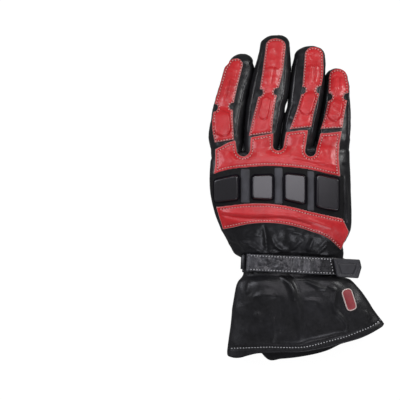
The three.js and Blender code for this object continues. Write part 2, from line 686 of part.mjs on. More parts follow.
// A seam across the back from one x to another, shifted forward.
function seam(key, from, to, shift = 0) {
  return Array.from({ length: SEAM_STEPS + 1 }, (_, k) => {
    const x = THREE.MathUtils.lerp(from, to, k / SEAM_STEPS);
    return new THREE.Vector2(x, rowAt(SEAMS, x, "x")[key] + shift);
  });
}

const asPoints = (rows) => rows.map(({ x, y }) => new THREE.Vector2(x, y));

// A notch's outline: half a circle at its rear, then two straight sides.
function notchOutline({ x, y, radius, lean, flare }) {
  const steps = 6;
  const arc = Array.from({ length: steps + 1 }, (_, k) => {
    const angle = Math.PI + (k / steps) * Math.PI;
    return new THREE.Vector2(x + radius * Math.cos(angle), y + radius * Math.sin(angle));
  });
  const mouth = [1, -1].map((side) => {
    const beside = lean * NOTCH_LENGTH + side * (radius + flare * NOTCH_LENGTH);
    return new THREE.Vector2(x + beside, y + NOTCH_LENGTH);
  });
  return [...arc, ...mouth];
}

function knucklePanel(skin) {
  const rear = seam("knuckle", SEAMS[1].x, SEAMS.at(-2).x, GAP / 2);
  const right = asPoints([...KNUCKLE_RIGHT].reverse());
  const front = asPoints([...KNUCKLE_FRONT].reverse());
  const notches = solidLibrary.Manifold.union(NOTCHES.map((notch) => prism(notchOutline(notch))));
  return skin.intersect(prism([...rear, ...right, ...front]).subtract(notches));
}

function padBand(skin) {
  const rear = seam("band", BAND.left, BAND.right, GAP);
  const front = seam("knuckle", BAND.left, BAND.right, -GAP).reverse();
  return skin.intersect(prism([...rear, ...front]));
}

function knucklePad({ left, right, front, rear }, base, middle, top) {
  const slope = (key, x) => rowAt(SEAMS, x, "x")[key] - rowAt(SEAMS, (left + right) / 2, "x")[key];
  const corners = (inset) => [
    new THREE.Vector2(left + inset, rear + inset + slope("band", left)),
    new THREE.Vector2(right - inset, rear + inset + slope("band", right)),
    new THREE.Vector2(right - inset, front - inset + slope("knuckle", right)),
    new THREE.Vector2(left + inset, front - inset + slope("knuckle", left)),
  ];
  const foot = middle.intersect(prism(roundedOutline(corners(0), PAD_CORNER)));
  const crown = top.intersect(prism(roundedOutline(corners(PAD_BEVEL), PAD_CORNER)));
  return foot.add(crown).subtract(base);
}

function wristPanel(skin) {
  const front = seam("band", WRIST_PANEL_LEFT[0].x, WRIST_PANEL_RIGHT.at(-1).x, -GAP / 2).reverse();
  const rear = seam("wrist", WRIST_PANEL_LEFT.at(-1).x, WRIST_PANEL_RIGHT[0].x);
  const [right, left] = [WRIST_PANEL_RIGHT, WRIST_PANEL_LEFT].map(asPoints);
  return skin.intersect(prism([...rear, ...right, ...front, ...left]));
}

function makePanels() {
  const low = backOf(GAP);
  const leather = backOf(GAP + PANEL_THICKNESS).subtract(low).intersect(upperHalf);
  const bandTop = hand(GAP + BAND_THICKNESS);
  const bandSkin = bandTop.subtract(hand(GAP)).intersect(upperHalf);
  const padBase = hand(2 * GAP + BAND_THICKNESS);
  const padMiddle = hand(GAP + BAND_THICKNESS + PAD_HEIGHT * PAD_FOOT);
  const padTop = hand(GAP + BAND_THICKNESS + PAD_HEIGHT);
  const knuckle = largest(knucklePanel(leather));
  const fingerClear = knucklePanelRoom();
  const meshes = fingerNames.map((name, k) => {
    const solid = fingerPanel(name).subtract(fingerClear).subtract(tube(FINGERS[name], GAP / 3));
    return toMesh(`finger_panel_${k + 1}`, largest(solid), redLeather);
  });
  meshes.push(toMesh("knuckle_panel", knuckle, redLeather));
  meshes.push(toMesh("pad_band", largest(padBand(bandSkin)), blackLeather));
  PADS.forEach((pad, k) => {
    const solid = knucklePad(pad, padBase, padMiddle, padTop).intersect(upperHalf);
    meshes.push(toMesh(`knuckle_pad_${k + 1}`, largest(solid), padLeather));
  });
  meshes.push(toMesh("wrist_panel", largest(wristPanel(leather)), redLeather));
  return meshes;
}

const PANEL_SEAM = 1.2; // between the knuckle panel's front edge and the finger panels

// Everything behind the knuckle panel's front edge and its seam, which the finger panels keep clear of.
function knucklePanelRoom() {
  const front = asPoints(KNUCKLE_FRONT).map((point) => point.add(new THREE.Vector2(0, PANEL_SEAM)));
  const corner = (x, y) => new THREE.Vector2(x, y);
  const [first, last] = [front[0], front.at(-1)];
  return prism([corner(-HIGH, 0), corner(HIGH, 0), corner(HIGH, last.y), ...front.reverse(), corner(-HIGH, first.y)]);
}

// Strap, ring, tab and patch

function archPoint(angle, lift) {
  const { left, right, bottom, top } = rowAt(HAND, STRAP_Y);
  const grow = STRAP_EASE + lift;
  const [beside, up] = oval(angle, (right - left) / 2 + grow, (top - bottom) / 2 + grow);
  return new THREE.Vector2((left + right) / 2 + beside, (bottom + top) / 2 + up);
}

// A strip with the given side outline, in the strap's own frame.
function strapBody(outline, width) {
  const body = new THREE.ExtrudeGeometry(new THREE.Shape(outline), { depth: width, bevelEnabled: false });
  return toSolid(body.rotateX(Math.PI / 2).translate(0, width / 2, 0));
}

// Space between the strap's two layers, opening towards the ring.
const strapSpace = (angle) =>
  GAP + (STRAP_OPENING - GAP) * THREE.MathUtils.smoothstep(angle, STRAP_FOLD - STRAP_SPREAD, STRAP_FOLD);

function wristStrap() {
  const line = (from, lift) =>
    Array.from({ length: STRAP_STEPS + 1 }, (_, k) => {
      const angle = THREE.MathUtils.lerp(from, STRAP_FOLD, k / STRAP_STEPS);
      return archPoint(angle, lift(angle));
    });
  const t = STRAP_THICKNESS;
  const underInside = line(STRAP_ANCHOR, () => 0);
  const underOutside = line(STRAP_ANCHOR, () => t);
  const overInside = line(STRAP_END, (angle) => t + strapSpace(angle));
  const overOutside = line(STRAP_END, (angle) => 2 * t + strapSpace(angle));
  const fold = (inner, outer) => {
    const centre = inner.clone().lerp(outer, 0.5);
    return [45, 90, 135].map((degrees) =>
      inner.clone().rotateAround(centre, -THREE.MathUtils.degToRad(degrees)),
    );
  };
  const outerFold = fold(underInside.at(-1), overOutside.at(-1));
  const innerFold = fold(underOutside.at(-1), overInside.at(-1)).reverse();
  const outside = [...underInside, ...outerFold, ...overOutside.reverse()];
  const inside = [...overInside, ...innerFold, ...underOutside.reverse()];
  return strapBody([...outside, ...inside], STRAP_WIDTH);
}

// Middle of the ring's bar in the strap's fold, and the way from it down the side of the wrist.
const ringBar = () => archPoint(STRAP_FOLD, STRAP_THICKNESS + STRAP_OPENING / 2);
const RING_WAY = archPoint(STRAP_FOLD + RING_LEAN, 0).sub(archPoint(STRAP_FOLD, 0)).normalize();

function strapRing() {
  const { bar, length, reach, corner } = RING;
  const rounded = (inset) =>
    roundedOutline(
      [[-1, 0], [1, 0], [1, 1], [-1, 1]].map(
        ([side, far]) =>
          new THREE.Vector2(side * (length / 2 - inset), bar / 2 - inset - far * (reach + bar - 2 * inset)),
      ),
      corner,
    );
  const flat = prism(rounded(0), -bar / 2, bar / 2).subtract(prism(rounded(bar)));
  const ring = toMesh("strap_ring", flat, ringPlastic);
  const middle = ringBar();
  ring.position.set(middle.x, 0, middle.y);
  const along = new THREE.Vector3(0, 1, 0);
  const up = new THREE.Vector3(-RING_WAY.x, 0, -RING_WAY.y);
  ring.setRotationFromMatrix(new THREE.Matrix4().makeBasis(along, up, along.clone().cross(up)));
  return ring;
}

// A short leather loop round the ring's outer bar, sewn to the side of the wrist.
function ringKeeper() {
  const outer = ringBar().addScaledVector(RING_WAY, RING.reach - KEEPER.sink);
  const inside = KEEPER.loop + GAP;
  const outside = inside + KEEPER.thickness;
  const loop = (radius, from, to, count = 5) =>
    Array.from({ length: count }, (_, k) => {
      const angle = THREE.MathUtils.lerp(from, to, k / (count - 1));
      return new THREE.Vector2(outer.x + radius * Math.cos(angle), outer.y + radius * Math.sin(angle));
    });
  const foot = (beside) => new THREE.Vector2(outer.x + beside - KEEPER.lean, outer.y - KEEPER.drop);
  const near = KEEPER.between / 2;
  const far = near + KEEPER.thickness;
  const around = [foot(far), ...loop(outside, 0, Math.PI), foot(-far)];
  const within = [foot(-near), ...loop(inside, Math.PI, 0), foot(near)];
  return strapBody([...around, ...within], STRAP_WIDTH - KEEPER.narrower);
}

function strapTab() {
  const shape = (rows, radius) =>
    roundedOutline(rows.map(({ along, across }) => new THREE.Vector2(along, across)), radius);
  const plate = prism(shape(TAB_OUTLINE, TAB.corner), 0, TAB_THICKNESS);
  const recess = prism(shape(TAB_RECESS, TAB.recessCorner), TAB_THICKNESS - TAB.recess, HIGH);
  const strapEnd = archPoint(STRAP_END, 2 * STRAP_THICKNESS + GAP);
  const tab = toMesh("strap_tab", plate.subtract(recess), tabRubber);
  tab.position.set(strapEnd.x + TAB.clear, TAB.offset, strapEnd.y - TAB_THICKNESS + TAB.lift);
  tab.rotation.y = TAB_TILT;
  return tab;
}

function cuffPatch() {
  const { x, y, width, length, turn, roundness } = PATCH;
  const corners = [[-1, -1], [1, -1], [1, 1], [-1, 1]].map(([a, b]) =>
    new THREE.Vector2((a * width) / 2, (b * length) / 2)
      .rotateAround(new THREE.Vector2(), THREE.MathUtils.degToRad(turn))
      .add(new THREE.Vector2(x, y)),
  );
  const outline = prism(roundedOutline(corners, width * roundness));
  return cuff(GAP + PATCH_THICKNESS).subtract(cuff(GAP)).intersect(outline).intersect(cuffTop);
}

function makeStrap() {
  const strap = new THREE.Group();
  strap.position.y = STRAP_Y;
  strap.rotation.z = STRAP_TURN;
  strap.add(
    toMesh("wrist_strap", wristStrap(), blackLeather),
    strapRing(),
    toMesh("ring_keeper", ringKeeper(), blackLeather),
    strapTab(),
  );
  return strap;
}

const glove = new THREE.Group();
glove.add(...makeSkin(), ...makePanels(), makeStrap(), toMesh("cuff_patch", cuffPatch(), patchRubber));
export default glove;
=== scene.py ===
"""A leather motorcycle glove for the right hand, lying on its palm. The tables are in millimetres."""

import math
from collections import namedtuple
from functools import partial

import bmesh
import bpy
import numpy as np
from mathutils import Matrix, Vector, noise
from mathutils.bvhtree import BVHTree


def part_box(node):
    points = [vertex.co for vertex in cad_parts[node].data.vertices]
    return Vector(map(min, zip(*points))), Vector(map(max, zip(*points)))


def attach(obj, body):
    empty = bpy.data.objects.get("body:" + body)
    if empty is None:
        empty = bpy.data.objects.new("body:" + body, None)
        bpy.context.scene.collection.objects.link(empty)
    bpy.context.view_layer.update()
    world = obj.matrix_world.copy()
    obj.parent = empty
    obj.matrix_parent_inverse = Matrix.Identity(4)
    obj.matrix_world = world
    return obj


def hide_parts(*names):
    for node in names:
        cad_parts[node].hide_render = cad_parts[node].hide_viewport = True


bl_info = {
    "name": "Motorcycle glove",
    "version": (1, 0, 0),
    "blender": (4, 5, 0),
    "location": "3D View > Sidebar > Glove",
    "description": "Dresses the packed solids of a leather motorcycle glove",
    "category": "Object",
}

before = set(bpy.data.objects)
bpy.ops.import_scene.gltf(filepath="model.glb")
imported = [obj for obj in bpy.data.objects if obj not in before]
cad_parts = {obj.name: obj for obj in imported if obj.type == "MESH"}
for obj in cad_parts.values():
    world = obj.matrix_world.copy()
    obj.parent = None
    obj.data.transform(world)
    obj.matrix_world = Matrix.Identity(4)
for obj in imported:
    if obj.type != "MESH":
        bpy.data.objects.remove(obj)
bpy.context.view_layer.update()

MM = 0.001
UP = Vector((0, 0, 1))
HIGH = 0.2  # above everything, where rays start from
WELD = 0.01 * MM  # points of a solid nearer than this are one
CREASE_SEED = 1

# Forms of the glove, as in the part's own tables

Section = namedtuple("Section", "y left right bottom top gather square")
HAND = [
    Section(-66, -49.4, 41.4, 3.6, 32.6, 0.2, 2.3),
    Section(-60, -49.4, 41.6, 3.6, 32.6, 0.2, 2.3),
    Section(-56.5, -50.2, 42.6, 3.6, 32.8, 0.3, 2.3),
    Section(-53, -55.6, 42.6, 4.2, 35.2, 1.2, 2.3),
    Section(-46.5, -60.4, 41.6, 5.8, 39.8, 1.9, 2.3),
    Section(-39, -64.8, 45.2, 8.8, 44.8, 1.1, 2.3),
    Section(-28, -70.6, 50.0, 13.0, 49.4, 0.3, 2.35),
    Section(-16, -75.2, 50.8, 16.6, 52.4, 0.0, 2.4),
    Section(0, -78.8, 50.2, 19.4, 54.4, 0.0, 2.6),
    Section(16, -80.4, 49.8, 20.4, 54.6, 0.0, 2.8),
    Section(28, -80.2, 49.2, 20.6, 53.4, 0.0, 3.0),
    Section(37, -79.6, 49.0, 20.6, 51.4, 0.0, 3.0),
]
HAND_STRAIGHT = 0.86  # the share of the hand's cells before its front end
FINGER_STRAIGHT = 0.82  # the share of a finger's cells before its round tip
KNUCKLE_ROUND = 9.0  # how far the hand's front end rounds over into the fingers
KNUCKLE_SKEW = 0.07  # the knuckle line runs forward towards the little finger
BACK_LEAN = -5.0  # the back's crest lies towards the index finger

Hem = namedtuple("Hem", "left_y left right_y right bottom top bow gather")
CUFF = [
    Hem(-62, -49.4, -62, 41.4, 3.6, 32.6, 0, 0.2),
    Hem(-72, -49.6, -72.5, 42.0, 3.0, 32.6, 0, 0.2),
    Hem(-79, -54.4, -77, 50.6, 1.2, 36.0, -1, 1.6),
    Hem(-90, -57.6, -86, 58.6, -0.6, 36.0, -2.5, 1.1),
    Hem(-106, -60.0, -97, 66.6, -1.2, 34.0, -5.5, 0.5),
    Hem(-124, -62.4, -108, 74.2, -1.4, 31.0, -9, 0.2),
    Hem(-142, -65.2, -118, 81.8, -1.4, 27.5, -13, 0.0),
]
CUFF_SQUARE = 2.3
HEM_SQUARE = 3  # how straight the hem is before it bends at the side edges
HEM_CORNER = 3.0  # radius of the hem's two outer corners
CUFF_LENGTH = 60  # from the wrist to the hem

# How the hem waves along its edge. Right of a step, its palm side reaches further than its back.
Wave = namedtuple("Wave", "x back palm")
HEM_WAVE = [
    Wave(-66, -4.6, -4.6),
    Wave(-59, -4.6, -4.6),
    Wave(-53, -3.1, -3.1),
    Wave(-46, -0.2, -0.2),
    Wave(-38, 2.3, 2.3),
    Wave(-32.5, 2.9, 2.9),
    Wave(-30.0, 2.9, 0.0),
    Wave(-27.0, 2.9, -2.6),
    Wave(-14, 2.3, -3.4),
    Wave(3, 0, -4.0),
    Wave(27, 0, -2.7),
    Wave(45, 0.6, 1.0),
    Wave(56, 0, 0),
    Wave(82, 0, 0),
]
GATHER = {"waves": 6, "drift": 0.7, "side_share": 0.4}

Pad = namedtuple("Pad", "rear front half")
Finger = namedtuple("Finger", "name tip panel_tip square slant notch_y near far strip edges")
Strip = namedtuple("Strip", "y x half")
Edge = namedtuple("Edge", "y left right")  # the finger's two sides as seen from above
FINGERS = [
    Finger("index", 8.6, 127.8, 2.0, 0.16, 82.8, Pad(55.5, 79, 6.6), Pad(87, 109, 5.6), [
        Strip(51.6, -66.9, 8.6),
        Strip(65.6, -68.2, 9.4),
        Strip(82.0, -67.4, 8.7),
        Strip(101.0, -63.4, 8.5),
        Strip(119.0, -58.3, 7.8),
        Strip(128.0, -55.6, 7.0),
    ], [
        Edge(44, -79.4, -49.2),
        Edge(52.7, -81.2, -49.4),
        Edge(66, -80.2, -48.8),
        Edge(80, -77.9, -46.9),
        Edge(99, -72.7, -43.2),
        Edge(113, -68.6, -40.0),
        Edge(120, -66.2, -39.2),
        Edge(124, -62.8, -40.6),
    ]),
    Finger("middle", 9.4, 146.2, 2.8, 0.14, 96.6, Pad(71, 92, 4.2), Pad(100, 119.5, 6.4), [
        Strip(57.9, -33.6, 10.4),
        Strip(76.0, -30.6, 9.2),
        Strip(96.0, -26.3, 8.5),
        Strip(112.0, -23.0, 9.2),
        Strip(138.0, -19.4, 9.0),
    ], [
        Edge(44, -49.2, -16.6),
        Edge(64, -48.6, -14.0),
        Edge(76, -47.5, -11.5),
        Edge(84, -46.6, -10.6),
        Edge(92, -45.2, -7.8),
        Edge(100, -43.6, -6.8),
        Edge(112, -40.6, -5.6),
        Edge(121, -38.4, -5.4),
        Edge(129, -35.9, -5.8),
        Edge(137, -34.2, -6.2),
        Edge(141, -33.8, -6.4),
    ]),
    Finger("ring", 9.2, 138.2, 2.3, 0.11, 98.5, Pad(75, 96, 5.4), Pad(103, 121.5, 6.4), [
        Strip(63.6, 3.4, 9.9),
        Strip(77.0, 7.2, 8.4),
        Strip(98.0, 13.0, 8.4),
        Strip(113.0, 15.1, 8.9),
        Strip(130.0, 15.8, 8.3),
    ], [
        Edge(44, -16.2, 15.8),
        Edge(64, -13.4, 19.2),
        Edge(76, -11.3, 21.6),
        Edge(84, -8.6, 23.4),
        Edge(92, -8.0, 24.6),
        Edge(100, -7.0, 25.6),
        Edge(112, -5.6, 26.4),
        Edge(122.7, -3.9, 26.7),
        Edge(130.5, -1.8, 25.8),
    ]),
    Finger("little", 8.4, 117.8, 2.3, 0.06, 92.2, Pad(69, 89, 5.4), Pad(96.5, 110, 5.6), [
        Strip(63.2, 32.3, 9.8),
        Strip(76.5, 35.3, 8.7),
        Strip(92.0, 38.1, 8.6),
        Strip(101.0, 38.6, 8.8),
        Strip(111.0, 38.0, 7.9),
    ], [
        Edge(44, 17.4, 48.2),
        Edge(52, 17.6, 49.2),
        Edge(64, 19.0, 49.7),
        Edge(80, 22.6, 49.6),
        Edge(94, 24.9, 48.9),
        Edge(104, 26.0, 48.3),
        Edge(110.4, 26.4, 47.2),
    ]),
]
FINGER_SQUARE = 2.3
FINGER_ROOT = 30.0  # where the fingers begin, inside the hand
NOTCH_RADIUS = 3.8
NOTCH_MOUTH = 1.2  # over which the corners at a notch's mouth are rounded
NOTCH_DEPTH = 0.92  # of a half circle
TIP_SHARE = 0.95  # of a finger panel's half width: the length over which its end is rounded
PANEL_MARGIN = 1.0  # from a finger panel's edge to its finger's side, at least
TIP_DROP = 0.12  # how steeply a finger's tip bends down
NEAR_RISE = 1.1  # of a finger's near pad
NEAR_CRADLE = 30  # and it rises towards its sides by the square of the distance over this
NEAR_DOME = 0.7
GROOVE = {"depth": 1.1, "breadth": 0.8, "offset": 0.6}  # along the far pad
WAIST = {"depth": 0.9, "breadth": 3.0}  # between the two pads

Web = namedtuple("Web", "left right rear front")
WEBS = [
    Web("index", "middle", 42.0, 119.0),
    Web("middle", "ring", 42.0, 77.5),
    Web("middle", "ring", 92.0, 110.0),
    Web("ring", "little", 42.0, 113.0),
]
WEB_REACH = 4.5  # how far a web reaches under the finger at each side
WEB_TOP = 40.0
WEB_FALL = (42, 56)  # where along y it falls from that height to the fingers
WEB_THICKNESS = 1.5
Piping = namedtuple("Piping", "finger turn start end")
PIPINGS = [
    Piping("index", 57, 0.22, 0.80),
    Piping("middle", 140, 0.22, 0.80),
    Piping("middle", 48, 0.22, 0.82),
    Piping("ring", 138, 0.26, 0.80),
    Piping("ring", 46, 0.22, 0.80),
    Piping("little", 132, 0.26, 0.80),
    Piping("little", 30, 0.26, 0.78),
]
PIPING_RADIUS = 0.85
PIPING_STEPS = 60

Round = namedtuple("Round", "y x z half_width half_height")
THUMB_TIP = 8.6
THUMB = [
    Round(-36, -45.0, 25.0, 13.5, 11.0),
    Round(-22, -45.5, 17.0, 14.6, 12.0),
    Round(-6, -43.0, 11.0, 14.8, 11.0),
    Round(10, -38.5, 9.4, 14.2, 9.8),
    Round(26, -33.5, 9.2, 13.6, 9.6),
    Round(37, -30.5, 9.2, 12.4, 9.5),
]

# Seams across the back: the knuckle panel's rear edge, the wrist panel's front and rear edges.
Seam = namedtuple("Seam", "x knuckle band wrist")
SEAMS = [
    Seam(-84, 18.6, -10.2, -32.4),
    Seam(-76.5, 20.9, -9.0, -31.2),
    Seam(-61.7, 24.9, -7.3, -28.5),
    Seam(-43.2, 27.0, -5.6, -24.8),
    Seam(-24.7, 28.0, -5.9, -23.9),
    Seam(-6.2, 27.0, -8.4, -26.2),
    Seam(12.2, 24.9, -13.0, -31.5),
    Seam(30.7, 20.5, -17.1, -39.3),
    Seam(40.4, 18.9, -19.2, -48.6),
    Seam(50, 17.0, -21.5, -58.0),
]
KNUCKLE_FRONT = [(-75.3, 44.2), (-69, 47.4), (-60.8, 51.4), (-43, 55.2), (-22, 59), (-9, 60.2), (10.4, 62),
                 (22.4, 59), (41.8, 60.8)]
KNUCKLE_RIGHT = [(39.6, 49), (38.9, 36), (39.6, 27)]
KNUCKLE_LEFT = [(-76.6, 22), (-75.4, 30)]
Notch = namedtuple("Notch", "x y radius lean flare")
NOTCHES = [
    Notch(-49.4, 43.6, 6.1, -0.04, 0.10),
    Notch(-17.0, 47.6, 4.9, 0.10, 0.08),
    Notch(12.8, 42.4, 5.0, 0.20, 0.06),
]
# A knuckle pad's lean is how many degrees its right side is turned up.
KnucklePad = namedtuple("KnucklePad", "left right front rear lean")
PADS = [
    KnucklePad(-77.0, -52.2, 20.4, -4.8, 0),
    KnucklePad(-42.6, -20.4, 21.8, -3.0, 0),
    KnucklePad(-12.6, 9.6, 22.4, -5.6, 0),
    KnucklePad(16.6, 40.0, 19.8, -12.4, 7.5),
]
CHANNELS = [(-51.8, -43.2), (-20.6, -13.0), (9.8, 16.2)]  # left and right of the suede between the pads
WRIST_LEFT = [(-74.2, -9.3), (-72.2, -16), (-67.7, -30)]
WRIST_RIGHT = [(40.2, -49), (44.4, -40), (47.6, -32.4), (45.6, -27), (42.3, -20.2)]

CORNER_SHARE = 0.48  # the most of a side that one rounded corner takes
PAD_CORNER = 5.0
PAD_FOOT = 0.3  # a pad's height at its rim
PAD_FLATNESS = 0.9  # how much of its bend the mould pressed out of a pad's top
SUEDE_CORNER = 1.5
SUEDE_CLEAR = 0.6  # from a suede strip's ends to the seams
BAND_UNDER = 1.2  # how far the black band runs under the red panels
BAND_SIDE = 1.3  # from the band's left end to the hand's side
NOTCH_LENGTH = 24.0  # of the knuckle panel's notches, past its front edge
STITCH_INSET = {"finger": 1.1, "panel": 2.6}  # from a panel's edge to its stitches
RIM_RADIUS = 0.8  # of the red panels' edges
PLATE_LEDGE = 0.6  # how much thicker a plate is than it stands up, so that it meets what carries it

# A red panel's soft body: how high it swells, how far in from its edge, and its lumps and creases
Cushion = namedtuple("Cushion", "swell full lump lump_size lump_seed crease_size crease_seed")
KNUCKLE_CUSHION = Cushion(0.9, 9, 0.3, 11, 6.0, 16, 8.0)
WRIST_CUSHION = Cushion(0.7, 7, 0.25, 10, 16.0, 15, 18.0)

# Soft folds: a line of points seen from above, its height and half breadth.
Fold = namedtuple("Fold", "line height breadth")
WRIST_FOLDS = [
    Fold([(-51.5, -40.7), (-43.2, -43.9), (-32.1, -50.9)], 2.2, 2.4),
    Fold([(-30.2, -26.8), (-28.4, -37.9), (-27.5, -50)], -2.2, 2.2),
    Fold([(-24.7, -33.3), (-20.1, -43.5), (-12.7, -49)], 1.7, 2.2),
    Fold([(-12.7, -29.6), (-4.3, -31), (3.1, -34.2)], 1.0, 2.0),
    Fold([(-7.1, -49), (-1.6, -45.3), (4.9, -39.8)], 1.5, 1.9),
    Fold([(10.5, -50), (12.3, -44.4), (15.1, -38.9)], 1.5, 1.8),
    Fold([(18.8, -52.7), (25.3, -46.2), (29, -42.6)], 1.5, 1.9),
    Fold([(-46.9, -36.1), (-38.6, -33.3), (-35.8, -28.7)], 0.9, 2.4),
]
CUFF_FOLDS = [
    Fold([(-4, -72), (2.7, -90), (6.9, -107), (8.1, -133.6)], -0.7, 1.2),
    Fold([(-8, -74), (-1.3, -92), (2.6, -108), (3.8, -131)], 1.7, 4.5),
    Fold([(-14.5, -74), (-8, -79.5), (-3.4, -87), (-2.5, -95.3)], 2.6, 2.4),
    Fold([(7.7, -77.7), (16.9, -81.4), (21.6, -84.2), (27.1, -85.1)], 1.6, 1.9),
    Fold([(29, -82.3), (35.4, -86), (35.4, -92.5), (34.5, -99.9), (36.4, -106.4), (42.8, -112.9),
          (46.1, -119.3), (44.7, -124)], 1.6, 2.0),
    Fold([(7.7, -95.3), (21.6, -98.1), (30.8, -111.9)], 0.9, 3.0),
    Fold([(-38.6, -92.5), (-29.3, -90.2), (-19.1, -91.6)], 1.3, 3.5),
    Fold([(-20.6, -111.9), (-20.6, -123), (-22.4, -133.5)], 0.8, 2.8),
    Fold([(-15.4, -93.4), (-14.5, -109.2), (-15.4, -124.9)], -1.1, 5.0),
    Fold([(-36.7, -106.4), (-34.9, -115.6)], 0.9, 4.0),
    Fold([(-35.8, -133.2), (-20.1, -135.5), (3.1, -135.5), (10.5, -132.7), (21.6, -130.4), (35.4, -126.7),
          (43.8, -125.3)], -0.8, 1.3),
    Fold([(64.1, -105.5), (66.9, -111), (68.7, -116.6)], 0.7, 1.6),
    Fold([(-44.1, -78.6), (-46, -89.7)], 0.9, 2.4),
]
KNUCKLE_FOLDS = [
    Fold([(-3.4, 33.8), (14.2, 30.5), (34.5, 25.4)], -0.9, 1.6),
    Fold([(-7.1, 37), (14.2, 33.8), (36.4, 28.7)], 0.6, 2.2),
    Fold([(-62, 40), (-58, 33), (-60, 27)], 0.4, 3.0),
]
WRIST_PANEL_FOLDS = [
    Fold([(-68.2, -15.7), (-52.4, -19), (-32.1, -19.9), (-10.8, -19.4), (12.3, -25)], -1.9, 1.8),
    Fold([(-67.2, -13), (-47.8, -14.8), (-24.7, -15.3), (3.1, -18.5), (30.8, -27.8)], 1.4, 2.2),
    Fold([(-2, -24.5), (14, -29.5), (30, -36), (38, -41)], 0.8, 2.2),
]
# The padded roll along the little finger's side of the hand, and a crease in front of it
SIDE_FOLDS = [
    Fold([(44.6, 18), (45.6, 2), (46.0, -12), (47.2, -24)], 1.5, 1.7),
    Fold([(42.6, -20), (42.2, 0), (41.8, 18)], -0.7, 1.0),
    Fold([(42.2, 30.4), (50, 27.4)], -0.9, 1.6),
]
HEM_SEAM = [(-60, -140), (-42.3, -139.4), (-25.6, -138.9), (-10.8, -139.3), (5.8, -139), (18.8, -136.3),
            (31.7, -132.9), (43.8, -129.7), (55.8, -125.2), (66, -121.2), (73.4, -117), (77, -113.6)]

# The strap's path over the back of the wrist, as angles round its section
STRAP_Y = -62.6
STRAP_TURN = math.radians(-2.6)
STRAP_EASE = 2.4  # between the wrist and the strap's inner line
STRAP_ANCHOR = math.radians(14)
STRAP_END = math.radians(47)
STRAP_FOLD = math.radians(139)
STRAP_SPREAD = math.radians(24)  # over which its two layers come together
STRAP_OPENING = 3.1  # between its layers where they leave the ring
STRAP_GAP = 0.3  # between its layers elsewhere
TAB_TILT = math.radians(12)
TAB_OUTLINE = [(2.2, -8.2), (22.6, -8.7), (25.2, 1.6), (23.2, 8.8), (-2.2, 8.8)]
TAB_FIELD = [(6, -5.2), (17.4, -5.4), (20, 0.4), (20, 5.2), (2.6, 5.2), (3.4, 2.4)]
TAB_PLACE = {"clear": 2.5, "lift": 0.4, "offset": -1.4, "thickness": 2.6, "corner": 1.8, "field_corner": 1.2}

# Soft puffs between the creases across the strap: place along x, height and half breadth
Puff = namedtuple("Puff", "x height breadth")
STRAP_PUFFS = [
    Puff(-29, 0.4, 3.0),
    Puff(-17, 0.6, 3.2),
    Puff(-5, 0.5, 0.8),
    Puff(2.5, 0.9, 3.0),
    Puff(11.5, 0.9, 3.2),
    Puff(22, 0.4, 3.0),
]
STRAP_SEAMS = (-6.4, 6.4)  # the stitches along its two sides
STRAP_SEWN = (-42, 31)  # where they start and end along x
STRAP_HELD = (-42, -35)  # where the ring lets go of the strap, so that it begins to crinkle
STRAP_CALM = (-9, -3)  # where the crinkles fade towards the rubbed middle
STRAP_RUBBED = ((-9, -2), (14, 20))  # where that middle begins and ends
STRAP_ROLL = 0.08  # how far it turns towards the light
STRAP_OUTER = (0.52, 0.58)  # the share of its length over which the outer layer begins
STRAP_END_SEAM = [(31.3, -59.4), (33.8, -70.6)]

PATCH = {"x": 48.5, "y": -95.0, "width": 10.0, "length": 21.0, "turn": 18.0, "roundness": 0.45, "height": 1.1}


def linear(code):
    """An sRGB hex colour as linear values with alpha."""
    parts = [int(code[k:k + 2], 16) / 255 for k in (1, 3, 5)]
    return [p / 12.92 if p <= 0.04045 else ((p + 0.055) / 1.055) ** 2.4 for p in parts] + [1.0]


